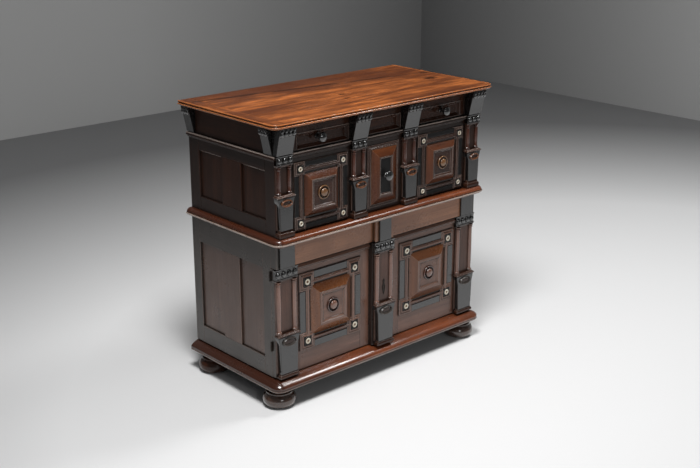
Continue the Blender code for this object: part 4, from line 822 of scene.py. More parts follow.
def start_material(name):
    material = bpy.data.materials.new(name)
    material.use_nodes = True
    tree = material.node_tree
    place = tree.nodes.new("ShaderNodeTexCoord").outputs["Object"]
    return material, tree, tree.nodes["Principled BSDF"], place


def split_axes(tree, place):
    node = tree.nodes.new("ShaderNodeSeparateXYZ")
    tree.links.new(place, node.inputs["Vector"])
    return node.outputs


def surfaced(tree, shader, place, base, roughness, height, relief, depth):
    """Links the colour, the polish and the fine relief of a surface."""
    tree.links.new(base, shader.inputs["Base Color"])
    polish = use_group(tree, "Old Polish", place, Base=roughness)
    tree.links.new(polish["Roughness"], shader.inputs["Roughness"])
    bump = tree.nodes.new("ShaderNodeBump")
    bump.inputs["Strength"].default_value = relief
    bump.inputs["Distance"].default_value = depth
    tree.links.new(height, bump.inputs["Height"])
    tree.links.new(bump.outputs["Normal"], shader.inputs["Normal"])


def groove_shaded(tree, base):
    """Painted shade: darkens grooves and corners towards a near-black colour by ambient occlusion."""
    shut = tree.nodes.new("ShaderNodeAmbientOcclusion")
    shut.samples = GROOVE_SHADE_SAMPLES
    shut.inputs["Distance"].default_value = GROOVE_SHADE_REACH
    mask = remap(tree, shut.outputs["AO"], GROOVE_SHADE_DEEP, GROOVE_SHADE_OPEN, GROOVE_SHADE_SHARE, 0.0)
    return mixed(tree, mask, base, bpy.context.scene.highboard_finish.grime)


def knotted(tree, place, base, dark, knots):
    """Darkens the wood round knots, each given by its place and radius."""
    for x, y, radius in knots:
        away = vector_maths(tree, "SUBTRACT", place, (x, y, 0.0))
        reach = vector_maths(tree, "LENGTH", vector_maths(tree, "MULTIPLY", away, KNOT_SQUEEZE))
        ragged = maths(tree, "MULTIPLY", noise(tree, place, "knot edge"), KNOT_RAGGED * radius)
        edge = maths(tree, "ADD", reach, ragged)
        mask = remap(tree, edge, KNOT_CORE * radius, KNOT_REACH * radius, KNOT_SHARE, 0.0)
        base = mixed(tree, mask, base, dark)
    return base


def seam_stained(tree, place, base, dark, seam):
    """Old dirt and stain along a glued joint, given by a point on it and the normal across it."""
    point, normal = seam
    across = vector_maths(tree, "DOT_PRODUCT", vector_maths(tree, "SUBTRACT", place, point), normal)
    reach = maths(tree, "ABSOLUTE", across, 0.0)
    spread = maths(tree, "DIVIDE", reach, noise(tree, place, "seam edge"))
    return mixed(tree, remap(tree, spread, *SEAM_RANGE), base, dark)


def painted_left_shade(tree, place, base, deep, dusk):
    """Painted shade: a board darkens towards its left end, and its left end is darker still."""
    across = split_axes(tree, place)["X"]
    base = mixed(tree, remap(tree, across, LEFT_SHADE_FROM, LEFT_SHADE_TO, dusk, 0.0), base, deep)
    return mixed(tree, remap(tree, across, *END_SHADE_RANGE), base, darker(deep, END_SHADE_DARK))


def grain_vector(tree, place, on_node):
    """The grain that a piece carries, or on a CAD node the axes in the order given."""
    if on_node is None:
        source = tree.nodes.new("ShaderNodeAttribute")
        source.attribute_name = "grain"
        return source.outputs["Vector"]
    axes = split_axes(tree, place)
    join = tree.nodes.new("ShaderNodeCombineXYZ")
    for axis, socket in zip(on_node, join.inputs):
        tree.links.new(axes[axis], socket)
    return join.outputs["Vector"]


def timber(name, colour, deep, worn, roughness, coat, figure=0.75, relief=0.25, specular=0.5, rub=0.12,
           on_node=None, stain=0.0, mottle=0.0, knots=(), seam=None, dusk=0.0):
    """A polished wood: its colour runs to the deep one along the growth figure."""
    material, tree, shader, place = start_material(name)
    grain = use_group(tree, "Timber Grain", grain_vector(tree, place, on_node))
    base = mixed(tree, maths(tree, "MULTIPLY", grain["Figure"], figure), colour, deep)
    base = laid(tree, base, grain["Streak"], FIBRE_SHARE, deep)
    base = laid(tree, base, use_group(tree, "Rubbed Patches", place)["Mask"], rub, worn)
    for patches, strength in (("stain", stain), ("mottle", mottle)):
        if strength > 0:
            base = laid(tree, base, noise(tree, place, patches), strength, deep)
    # Painted shade: the board darkens towards its left end
    if dusk > 0:
        base = painted_left_shade(tree, place, base, deep, dusk)
    if seam is not None:
        base = seam_stained(tree, place, base, darker(deep, SEAM_DARK), seam)
    base = knotted(tree, place, base, darker(deep, KNOT_DARK), knots)
    base = laid(tree, base, grain["Pores"], PORE_SHARE, darker(deep, PORE_DARK))
    height = maths(tree, "SUBTRACT", grain["Streak"], grain["Pores"])
    # Painted shade: grooves and corners darkened by ambient occlusion
    surfaced(tree, shader, place, groove_shaded(tree, base), roughness, height, relief, GRAIN_DEPTH)
    shader.inputs["Specular IOR Level"].default_value = specular
    shader.inputs["Coat Weight"].default_value = coat
    shader.inputs["Coat Roughness"].default_value = COAT_ROUGHNESS
    return material


def plain_material(name, colour, other, roughness, metallic, scale):
    """Bone or iron: two tones in clouds and specks."""
    material, tree, shader, place = start_material(name)
    specks = noise(tree, place, "specks", scale)
    base = mixed(tree, noise(tree, place, "clouds", scale), colour, other)
    base = laid(tree, base, specks, SPECK_SHARE, darker(other, SPECK_DARK))
    surfaced(tree, shader, place, base, roughness, specks, SPECK_RELIEF, SPECK_DEPTH)
    shader.inputs["Metallic"].default_value = metallic
    return material


def finish(name):
    """The named finish, made once from the settings."""
    if name in bpy.data.materials:
        return bpy.data.materials[name]
    tones = bpy.context.scene.highboard_finish
    if name in PLAIN:
        colour, other, *values = PLAIN[name]
        return plain_material(name, getattr(tones, colour), getattr(tones, other), *values)
    colour, deep, worn, roughness, coat, values = WOODS[name]
    colours = [getattr(tones, field) for field in (colour, deep, worn)]
    return timber(name, *colours, roughness, coat, **values)


def tone(label, text, value):
    return FloatVectorProperty(
        name=label, description=text, default=value, subtype="COLOR", size=3, min=0.0, max=1.0
    )


def tone_fields():
    """A colour setting for each tone, and one for its figure where it has one."""
    fields = {}
    for field, text, colour, deep in TONES:
        label = field.replace("_", " ").capitalize()
        fields[field] = tone(label, f"Colour of the {text}", colour)
        if deep is not None:
            fields[f"{field}_deep"] = tone(f"{label} deep", f"Darker figure of the {text}", deep)
    return fields


class HighboardFinish(bpy.types.PropertyGroup):
    """Colours of the woods, bone and iron."""

    __annotations__ = tone_fields()


class HighboardSizes(bpy.types.PropertyGroup):
    """Sizes of the fine work."""

    arris: FloatProperty(
        name="Arris", description="Width of a rubbed edge", default=0.0010, unit="LENGTH", min=0.0002, max=0.003
    )
    fine_arris: FloatProperty(
        name="Fine arris", description="Edge of small mouldings", default=0.0007, unit="LENGTH",
        min=0.0001, max=0.002
    )
    seam: FloatProperty(
        name="Seam", description="Gap between boards", default=0.0004, unit="LENGTH", min=0.0, max=0.002
    )


class HighboardStudio(bpy.types.PropertyGroup):
    """Room, lamps and lens."""

    # Floor and wall colours hold painted light: a pale pool on the floor darkening outwards, and painted shade on
    # the walls towards their corner
    floor: tone("Floor", "Pale floor near the camera", (0.81, 0.81, 0.81))
    floor_shaded: tone("Far floor", "Floor towards the walls", (0.25, 0.25, 0.252))
    wall: tone("Wall", "Walls away from their corner", (0.475, 0.475, 0.470))
    corner: tone("Corner", "Walls near their corner", (0.20, 0.20, 0.20))
    key_power: FloatProperty(name="Key", description="Power of the lamp above", default=130.0, unit="POWER")
    side_power: FloatProperty(name="Side", description="Power of the right lamp", default=72.0, unit="POWER")
    fill_power: FloatProperty(name="Fill", description="Power of the front lamp", default=30.0, unit="POWER")
    lens: FloatProperty(
        name="Lens", description="Focal length in millimetres", default=59.09, unit="CAMERA", min=10.0, max=200.0
    )


# Pieces

# Works of one front: key, ending of the piece's name, finish, slot, and finish of the rubbed edges, which is
# partly wear and partly a painted highlight
FRONT_WORKS = (
    ("red", "walnut", "Drawer Walnut", "reddish_walnut", "Worn Red"),
    ("backing", "backing", "Panel Walnut", "reddish_walnut", "Worn Dark"),
    ("mould", "mouldings", "Dark Moulding", "dark_wood", "Worn Dark"),
    ("black", "ebonised", "Ebonised", "ebonised_wood", "Worn Ebony"),
    ("dull", "dull_black", "Dull Black", "ebonised_wood", "Worn Ebony"),
    ("round", "turnings", "Black Turning", "ebonised_wood", None),
    ("column", "columns", "Column Red", "reddish_walnut", None),
    ("eye", "eyes", "Column Red", "reddish_walnut", None),
    ("gold", "bosses", "Golden Turning", "reddish_walnut", None),
    ("dark", "ground", "Dark Carcass", "dark_wood", "Worn Dark"),
    ("bone", "bone", "Bone", "reddish_walnut", None),
)


def front_works(name, body, arris, woods=None):
    """The works of one front piece, some of them in a wood of their own."""
    works = {}
    for key, ending, wood, slot, worn in FRONT_WORKS:
        wood = (woods or {}).get(key, wood)
        works[key] = Work(f"{name}_{ending}", body, wood, slot, worn, arris if worn else None)
    return works


def build_set(works, *nodes):
    """Builds the works that hold anything. The first one stands for the nodes."""
    made = [work for work in works.values() if work.points]
    made[0].build(*nodes)
    for work in made[1:]:
        work.build()


class HIGHBOARD_OT_top(bpy.types.Operator):
    """Builds the top board: a moulded edge under planks with a slanted seam"""

    bl_idname = "highboard.top_board"
    bl_label = "Top Board"

    def execute(self, context):
        sizes = context.scene.highboard_sizes
        lo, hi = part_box("top_board")
        planks = Work("top", "carcass", "Top Walnut", "top_walnut", None, sizes.fine_arris)
        edge = Work("top_edge", "carcass", "Top Edge", "top_walnut", "Worn Top", sizes.arris)
        rim = Work("top_rim", "carcass", "Top Walnut", "top_walnut", "Worn Top", sizes.fine_arris)
        back = Work("top_rear", "carcass", "Top Rear", "top_walnut", None, sizes.fine_arris)
        edge.add(lipped(lo, hi, TOP_EDGE), "X")
        rim.add(lipped(lo, hi, TOP_LIP), "X")
        gap = TOP_SEAM_WIDTHS * sizes.seam
        end = TOP_END_WIDTH - hi.x
        x, y, _ = TOP_SEAM[0]
        run = Vector(TOP_SEAM_RUN).normalized()
        outline = rounded(lo, hi, TOP_RIM)
        field = clipped(outline, (end, 0), (1, 0))
        middle = clipped(field, (x, y - gap), (run.y, -run.x))
        for work, plank, along in (
            (planks, clipped(outline, (end - gap, 0), (-1, 0)), "Y"),
            (back, clipped(field, (x, y), (-run.y, run.x)), "X"),
            (planks, clipped(middle, (0.0, TOP_FRONT_SEAM), (0, 1)), "X"),
            (planks, clipped(middle, (0.0, TOP_FRONT_SEAM - gap), (0, -1)), "X"),
        ):
            layers = [(0.0, lo.z + TOP_PLANK_FOOT), (0.0, hi.z)]
            work.add(layered(plank, layers, spot_up(0.0, 0.0, 0.0)), along)
        planks.build("top_board")
        for work in (edge, rim, back):
            work.build()
        return {"FINISHED"}


class HIGHBOARD_OT_shelves(bpy.types.Operator):
    """Builds the moulded mid shelf, the base and the string moulding"""

    bl_idname = "highboard.moulded_boards"
    bl_label = "Moulded Boards"

    def execute(self, context):
        sizes = context.scene.highboard_sizes
        for name, node, wood, worn, profile in MOULDED_BOARDS:
            work = Work(name, "carcass", wood, "reddish_walnut", worn, sizes.arris if worn else None)
            work.add(lipped(*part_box(node), profile), "X")
            if worn:
                work.build(node)
            else:
                work.build()
        self.string(sizes)
        return {"FINISHED"}

    def string(self, sizes):
        lo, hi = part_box("string_moulding")
        side_lo, side_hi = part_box("upper_right_side")
        work = Work("string", "carcass", "Dark Carcass", "reddish_walnut", "Dark Moulding", sizes.fine_arris)
        # The bead is pale as a painted highlight along the string, besides rubbing
        bead = Work("string_bead", "carcass", "Rubbed Bead", "reddish_walnut")
        reach = hi.x - side_hi.x
        profile = STRING_INNER + shifted(STRING_OUTER, reach) + STRING_TOP
        corners = ((-1, hi.y, 0), (-1, side_lo.y, 1), (1, side_lo.y, 1), (1, hi.y, 0))
        for piece, outline in ((work, profile), (bead, shifted(STRING_BEAD, reach))):
            sections = []
            for sign, y, ahead in corners:
                x = side_hi.x
                sections.append([(sign * (x + out), y - ahead * out, lo.z + rise) for out, rise in outline])
            for k, along in enumerate("YXY"):
                piece.add(loft(sections[k:k + 2]), along)
        work.build("string_moulding")
        bead.build()


class HIGHBOARD_OT_sides(bpy.types.Operator):
    """Builds the sides of both stages as stiles, rails, muntins and moulded panels"""

    bl_idname = "highboard.sides"
    bl_label = "Sides"

    def execute(self, context):
        sizes = context.scene.highboard_sizes
        for side, sign in (("left", -1), ("right", 1)):
            self.upper(side, sign, sizes)
            self.lower(side, sign, sizes)
        return {"FINISHED"}

    def slab(self, work, a, b, y0, y1, z0, z1, along):
        """A board between two places across the side."""
        work.add(board((min(a, b), y0, z0), (max(a, b), y1, z1)), along)

    def framing(self, work, fill, across, box, head, openings, low, high, gap):
        """Two stiles, two rails and the muntin round a pair of openings."""
        lo, hi = box
        (front, near), (far, rear) = openings
        self.slab(work, *across, lo.y, front, lo.z, head, "Z")
        self.slab(work, *across, rear, hi.y, lo.z, head, "Z")
        self.slab(work, *across, front + gap, rear - gap, lo.z, low, "Y")
        self.slab(work, *across, front + gap, rear - gap, high, head, "Y")
        self.slab(fill, *across, near, far, low + gap, high - gap, "Z")

    def panels(self, fill, across, openings, low, high, lap):
        for y0, y1 in openings:
            self.slab(fill, *across, y0 - lap, y1 + lap, low - lap, high + lap, "Z")

    def upper(self, side, sign, sizes):
        lo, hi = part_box(f"upper_{side}_side")
        string_lo, string_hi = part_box("string_moulding")
        outer = sign * max(abs(lo.x), abs(hi.x))
        inner = outer - sign * UPPER_THICK
        work = Work(f"upper_{side}_framing", "carcass", "Dark Carcass", "dark_wood", "Dark Moulding", sizes.arris)
        fill = Work(f"upper_{side}_panels", "carcass", "Panel Walnut", "dark_wood", "Dark Moulding", sizes.arris)
        # Pale lip over each panel, on its top edge only: a painted highlight where the light from above catches
        # it
        highlit_lips = Work(f"upper_{side}_lips", "carcass", "Worn Dark", "dark_wood")
        guide = Work(f"{side}_drawer_guides", "carcass", "Inner Wood", "inner_wood", None, sizes.arris)
        gap = sizes.seam
        head = string_lo.z + STRING_SEAT
        across = (inner, outer)
        self.framing(work, fill, across, (lo, hi), head, UPPER_OPENINGS, UPPER_LOW, UPPER_HIGH, gap)
        self.slab(fill, *across, lo.y, hi.y, head + gap, hi.z, "Y")
        self.slab(work, inner - sign * gap, sign * POST_INNER, lo.y, POST_REAR, lo.z, hi.z, "Z")
        panel = (outer - sign * PANEL_DEPTH, inner + sign * UPPER_PANEL_BACK)
        self.panels(fill, panel, UPPER_OPENINGS, UPPER_LOW, UPPER_HIGH, UPPER_PANEL_LAP)
        for y0, y1 in UPPER_OPENINGS:
            members = mitred(rectangle(y0, y1, UPPER_LOW, UPPER_HIGH), PANEL_LIP, on_side(outer, sign))
            highlit_lips.add(members[2], "Y")
        for z in (lo.z, string_hi.z + GUIDE_CLEAR):
            run = (sign * GUIDE_INNER, inner - sign * gap)
            self.slab(guide, *run, GUIDE_FRONT, GUIDE_REAR, z, z + GUIDE_HEIGHT, "Y")
        work.build(f"upper_{side}_side")
        for piece in (fill, highlit_lips, guide):
            piece.build()

    def lower(self, side, sign, sizes):
        lo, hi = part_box(f"lower_{side}_frame")
        outer = sign * max(abs(lo.x), abs(hi.x))
        work = Work(f"lower_{side}_framing", "carcass", "Frame Brown", "dark_wood", "Worn Dark", sizes.arris)
        fill = Work(f"lower_{side}_panels", "carcass", "Side Walnut", "dark_wood", "Worn Dark", sizes.arris)
        self.framing(work, fill, (lo.x, hi.x), (lo, hi), hi.z, LOWER_OPENINGS, LOWER_LOW, LOWER_HIGH, sizes.seam)
        panel = (outer - sign * PANEL_DEPTH, outer - sign * LOWER_PANEL_BACK)
        self.panels(fill, panel, LOWER_OPENINGS, LOWER_LOW, LOWER_HIGH, LOWER_PANEL_LAP)
        work.build(f"lower_{side}_frame")
        fill.build(f"lower_{side}_front_panel", f"lower_{side}_rear_panel")


def corbel(works, u0, u1, face, z0, z1, kind):
    """A leaning bracket with a banded head and hanging drops, between two places along a face."""
    foot, head, drops = kind
    band = z1 - CORBEL_BAND

    def lean(share):
        return foot + (head - foot) * share ** CORBEL_BEND

    shares = [k / CORBEL_STEPS for k in range(CORBEL_STEPS + 1)]
    outline = [(0.0, z0)] + [(lean(share), z0 + (band - z0) * share) for share in shares]
    outline += [(head + CORBEL_CAP, band), (head + CORBEL_CAP, z1), (0.0, z1)]
    works["black"].add(loft([[face(u, z, out) for out, z in outline] for u in (u0, u1)]), "Z")
    pitch = (u1 - u0) / drops
    for k in range(drops):
        middle = u0 + pitch * (k + 0.5)
        rings = []
        for radius, fall in DROP_TURNING:
            z = band - fall
            out = lean((z - z0) / (band - z0)) + DROP_LIFT
            reach = radius * pitch / 2
            rings.append([face(middle + a, z, out + b) for a, b in oval(reach, reach, DROP_SIDES)])
        works["round"].add(loft(rings), "Z")


class HIGHBOARD_OT_corbels(bpy.types.Operator):
    """Builds the fixed corbels under the top"""

    bl_idname = "highboard.corbels"
    bl_label = "Corbels"

    def execute(self, context):
        works = front_works("corbels", "carcass", context.scene.highboard_sizes.fine_arris)
        nodes = []
        for side, sign in (("left", -1), ("right", 1)):
            nodes.append(f"front_{side}_corbel")
            lo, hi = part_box(nodes[-1])
            corbel(works, lo.x, hi.x, on_front(hi.y), lo.z, hi.z, FRONT_CORBEL)
            for row in ("front", "rear"):
                nodes.append(f"{side}_{row}_side_corbel")
                lo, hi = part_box(nodes[-1])
                face = on_side(sign * min(abs(lo.x), abs(hi.x)), sign)
                corbel(works, lo.y, hi.y, face, lo.z, hi.z, SIDE_CORBEL)
        build_set(works, *nodes)
        return {"FINISHED"}


class HIGHBOARD_OT_frieze(bpy.types.Operator):
    """Builds the frieze drawer front with its sunk panels and inner corbels"""

    bl_idname = "highboard.frieze_front"
    bl_label = "Frieze Front"

    def execute(self, context):
        sizes = context.scene.highboard_sizes
        gap = sizes.seam
        lo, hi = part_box("frieze_drawer_front")
        works = front_works("frieze", "frieze_drawer", sizes.fine_arris)
        front = works["mould"]
        front.arris = sizes.arris
        near, inner, outer = FRIEZE_STOPS
        front.add(board((lo.x, FRIEZE_FACE, FRIEZE_HIGH), hi), "X")
        front.add(board((lo.x, FRIEZE_FACE, lo.z), (hi.x, hi.y, FRIEZE_LOW)), "X")
        for x0, x1 in ((-inner, -near), (-hi.x, -outer), (near, inner), (outer, hi.x)):
            front.add(board((x0, FRIEZE_FACE, FRIEZE_LOW + gap), (x1, hi.y, FRIEZE_HIGH - gap)), "Z")
        for x0, x1 in ((-outer, -inner), (-near, near), (inner, outer)):
            front.add(board((x0, FRIEZE_FACE + SUNK_DEPTH, FRIEZE_LOW), (x1, hi.y, FRIEZE_HIGH)), "X")
            outline = rectangle(x0, x1, FRIEZE_LOW, FRIEZE_HIGH)
            front.add_frame(mitred(outline, SUNK_MOULD, on_front(FRIEZE_FACE)))
        for x in (-FRIEZE_CORBEL_X, FRIEZE_CORBEL_X):
            span = (x - FRIEZE_CORBEL_HALF, x + FRIEZE_CORBEL_HALF)
            corbel(works, *span, on_front(FRIEZE_FACE), lo.z, hi.z, FRONT_CORBEL)
        build_set(works, "frieze_drawer_front")
        return {"FINISHED"}


def capital(works, size, x, back, foot):
    """The cap of a pilaster with its row of bosses, on a moulded neck."""
    half = size.cap_width / 2
    works["mould"].add(moulded_block(x, half, back, size.cap_depth, foot, NECK), "X")
    body = CAP_FOOT + shifted(CAP_HEAD, up=size.cap_height)
    depth = size.cap_depth - size.string_depth
    works["black"].add(moulded_block(x, half, back - size.string_depth, depth, foot, body), "X")
    middle = foot + size.cap_height / 2 - BOSS_FALL
    for k in range(size.bosses):
        spot = x + (k - (size.bosses - 1) / 2) * size.boss_pitch
        place = spot_front(spot, back - size.cap_depth + BOSS_SINK, middle)
        works["round"].add(egg(place, size.boss_radius, size.boss_height, size.boss_depth), "Z")


def console(works, size, x, back, foot):
    """A console that swells to its shoulders, under a moulded sill and round an oval eye."""
    shoulder = size.shoulder_width / 2
    waist = size.console_width / 2
    tip = size.console_foot_width / 2
    top = size.console_top
    deep = size.console_depth
    drop = top - size.shoulder_height
    widen, climb = CONSOLE_TAPER
    right = [(tip, size.console_foot - CONSOLE_LAP), (tip + widen * (waist - tip), climb * drop)]
    for share in CONSOLE_BEND:
        bulge = 0.5 - 0.5 * math.cos(math.pi * share)
        right.append((waist + (shoulder - waist) * bulge, drop + size.shoulder_height * share))
    outline = right + [(-u, v) for u, v in reversed(right)]
    layers = [(0.0, 0.0), (0.0, deep - CONSOLE_ARRIS), (CONSOLE_ARRIS, deep)]
    works["black"].add(layered(outline, layers, spot_front(x, back, foot)), "Z")
    sill = SILL + [(SILL_HEAD, size.column_foot - top)]
    works["mould"].add(moulded_block(x, shoulder, back, deep, foot + top, sill), "X")
    place = spot_front(x, back - deep, foot + top - size.eye_drop)
    wide = size.eye_width / 2 - EYE_RIM_WIDE
    high = size.eye_height / 2 - EYE_RIM_HIGH
    works["eye"].add(oval_ring(place, wide, high, EYE_RIM), "Z")
    rings = []
    for share, rise in EYE_DISH:
        hollow = oval(share * (wide - EYE_WALL), share * (high - EYE_WALL), DISH_SIDES)
        rings.append([place(u, v, rise) for u, v in hollow])
    works["mould"].add(loft(rings), "Z")


def pilaster(works, node, size):
    """Cap, split columns on a backing strip, console and plinth."""
    lo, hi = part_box(node)
    x = (lo.x + hi.x) / 2
    back = hi.y
    foot = lo.z
    cap = hi.z - size.cap_height
    half = size.backing_width / 2
    face = back - size.backing_depth
    works["backing"].add(board((x - half, face, foot + size.console_foot), (x + half, back, cap)), "Z")
    capital(works, size, x, back, cap)
    length = cap - NECK_HEIGHT - foot - size.column_foot
    belly = [(reach, share * length) for reach, share in SHAFT_BELLY]
    shaft = SHAFT_FOOT + belly + shifted(SHAFT_HEAD, up=length)
    for sign in (-1, 1):
        place = spot_up(x + sign * size.column_x, face, foot + size.column_foot)
        works["column"].add(turned(shaft, place, SHAFT_SIDES, size.column_radius), "Z")
    console(works, size, x, back, foot)
    mould = [(0.0, 0.0)] + shifted(PLINTH_MOULD, up=size.plinth_height) + [(PLINTH_HEAD, size.console_foot)]
    depth = size.console_depth + PLINTH_PROUD
    works["mould"].add(moulded_block(x, size.plinth_width / 2, back, depth, foot, mould), "X")


class HIGHBOARD_OT_pilasters(bpy.types.Operator):
    """Builds the split-turned pilasters of both stages"""

    bl_idname = "highboard.pilasters"
    bl_label = "Pilasters"

    def execute(self, context):
        for name, body, size, nodes in PILASTER_GROUPS:
            works = front_works(name, body, context.scene.highboard_sizes.fine_arris, size.woods)
            for node in nodes:
                pilaster(works, node, size)
            build_set(works, *nodes)
        return {"FINISHED"}


def ring_boss(works, place, size):
    """A turned boss: domed button, deep groove and rim."""
    works[size.rim].add(turned(RING_RIM, place, RIM_SIDES, size.ring), "X")
    works["dull"].add(turned(RING_GROOVE, place, BUTTON_SIDES, size.ring), "X")
    works[size.button].add(turned(RING_BUTTON, place, BUTTON_SIDES, size.ring), "Y")


def corner_block(works, back, u, v, size):
    """A stepped block with a black plate that carries a bone ring round a dark stud."""
    half = size.corner / 2 - BLOCK_GAP
    outline = rectangle(u - half, u + half, v - half, v + half)
    margin = half - size.plate / 2
    steps = BLOCK_EDGE + [(share * margin, rise) for share, rise in BLOCK_STEPS]
    works["mould"].add_frame(mitred(outline, steps, on_front(back)))
    works["dull"].add(layered(outline, shifted(PLATE_LAYERS, margin), on_front(back)), "X")
    spot = spot_front(u, back - PLATE_TOP, v)
    section = [(size.disc * share, rise) for share, rise in BONE_RING]
    works["bone"].add(oval_ring(spot, 0.0, 0.0, section, BONE_SIDES), "X")
    works["gold"].add(turned(BONE_STUD, spot, STUD_SIDES, size.disc), "X")


def square(works, node, size):
    """A raised square inside black bars and corner blocks, with a sunk field and a ring boss."""
    lo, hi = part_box(node)
    place = on_front(hi.y)
    outline = rectangle(lo.x, hi.x, lo.z, hi.z)
    works["dark"].add(layered(outline, GROUND_LAYERS, place), "X")
    corner = size.corner
    width = size.bar_width
    for z0 in (lo.z + size.bar_inset, hi.z - size.bar_inset - width):
        bar = rectangle(lo.x + corner, hi.x - corner, z0, z0 + width)
        works[size.bar].add(layered(bar, BAR_LAYERS, place), "X")
    for x0 in (lo.x + size.bar_inset, hi.x - size.bar_inset - width):
        bar = rectangle(x0, x0 + width, lo.z + corner, hi.z - corner)
        works[size.bar].add(layered(bar, BAR_LAYERS, place), "Z")
    for u in (lo.x + corner / 2, hi.x - corner / 2):
        for v in (lo.z + corner / 2, hi.z - corner / 2):
            corner_block(works, hi.y, u, v, size)
    head = size.head
    frame_run = size.pocket_inset - size.frame_inset
    slope_run = size.table_inset - size.raised_inset
    table_run = size.recess_inset - size.table_inset
    mould = FRAME_OUTER + shifted(FRAME_INNER, frame_run)
    slope = SLOPE_FOOT + [(slope_run, head - SLOPE_FALL), (slope_run, SLOPE_BACK)]
    table = shifted(TABLE_OUTER, up=head) + shifted(TABLE_INNER, table_run, head)
    works["mould"].add_frame(mitred(inset(outline, size.frame_inset), mould, place))
    works["red"].add_frame(mitred(inset(outline, size.raised_inset), slope, place))
    works["mould"].add_frame(mitred(inset(outline, size.table_inset), table, place))
    field = inset(outline, size.recess_inset - FIELD_LAP)
    works["mould"].add(layered(field, shifted(FIELD_LAYERS, up=head), place), "X")
    ring_boss(works, spot_front((lo.x + hi.x) / 2, hi.y - head + RING_FALL, (lo.z + hi.z) / 2), size)


class HIGHBOARD_OT_squares(bpy.types.Operator):
    """Builds the raised squares of the deep drawer and the doors"""

    bl_idname = "highboard.squares"
    bl_label = "Raised Squares"

    def execute(self, context):
        for name, body, size, nodes in SQUARE_GROUPS:
            works = front_works(name, body, context.scene.highboard_sizes.fine_arris, size.woods)
            for node in nodes:
                square(works, node, size)
            build_set(works, *nodes)
        return {"FINISHED"}


class HIGHBOARD_OT_deep_front(bpy.types.Operator):
    """Builds the deep drawer front and its tall bevelled middle panel"""

    bl_idname = "highboard.deep_front"
    bl_label = "Deep Drawer Front"

    def execute(self, context):
        sizes = context.scene.highboard_sizes
        works = front_works("deep_front", "deep_drawer", sizes.fine_arris)
        lo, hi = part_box("deep_drawer_front")
        middle = lo.z + (hi.z - lo.z) / 2
        works["dark"].add(board(lo, (hi.x, hi.y, middle)), "X")
        works["dark"].add(board((lo.x, lo.y, middle + sizes.seam), hi), "X")
        lo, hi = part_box("drawer_centre_panel")
        place = on_front(hi.y)
        outline = rectangle(lo.x, hi.x, lo.z, hi.z)
        for key, profile in (("mould", PANEL_RIM), ("red", PANEL_SLOPE), ("mould", PANEL_TABLE)):
            works[key].add_frame(mitred(outline, profile, place))
        works["dull"].add(layered(inset(outline, PANEL_FIELD_INSET), PANEL_FIELD, place), "Z")
        build_set(works, "deep_drawer_front", "drawer_centre_panel")
        return {"FINISHED"}


class HIGHBOARD_OT_knobs(bpy.types.Operator):
    """Builds the turned knobs of both drawers"""

    bl_idname = "highboard.knobs"
    bl_label = "Knobs"

    def execute(self, context):
        for name, body, nodes in KNOB_GROUPS:
            work = Work(name, body, "Black Turning", "ebonised_wood")
            for node in nodes:
                lo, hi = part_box(node)
                place = spot_front((lo.x + hi.x) / 2, hi.y, (lo.z + hi.z) / 2)
                work.add(turned(KNOB_TURNING, place, KNOB_SIDES, (hi.x - lo.x) / 2, hi.y - lo.y), "Z")
            work.build(*nodes)
        return {"FINISHED"}


class HIGHBOARD_OT_feet(bpy.types.Operator):
    """Builds the turned bun feet"""

    bl_idname = "highboard.feet"
    bl_label = "Bun Feet"

    def execute(self, context):
        # The rear feet take the darker moulding finish as painted shade, as they stand in the shade under the
        # base
        for row, wood in (("front", "Foot Brown"), ("rear", "Dark Moulding")):
            work = Work(f"{row}_feet", "carcass", wood, "ebonised_wood")
            nodes = [f"{row}_{side}_foot" for side in ("left", "right")]
            for node in nodes:
                lo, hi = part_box(node)
                profile = FOOT_TURNING + [(FOOT_NECK, hi.z - lo.z)]
                place = spot_up((lo.x + hi.x) / 2, (lo.y + hi.y) / 2, 0.0)
                work.add(turned(profile, place, FOOT_SIDES, (hi.x - lo.x) / 2), "X")
            work.build(*nodes)
        return {"FINISHED"}


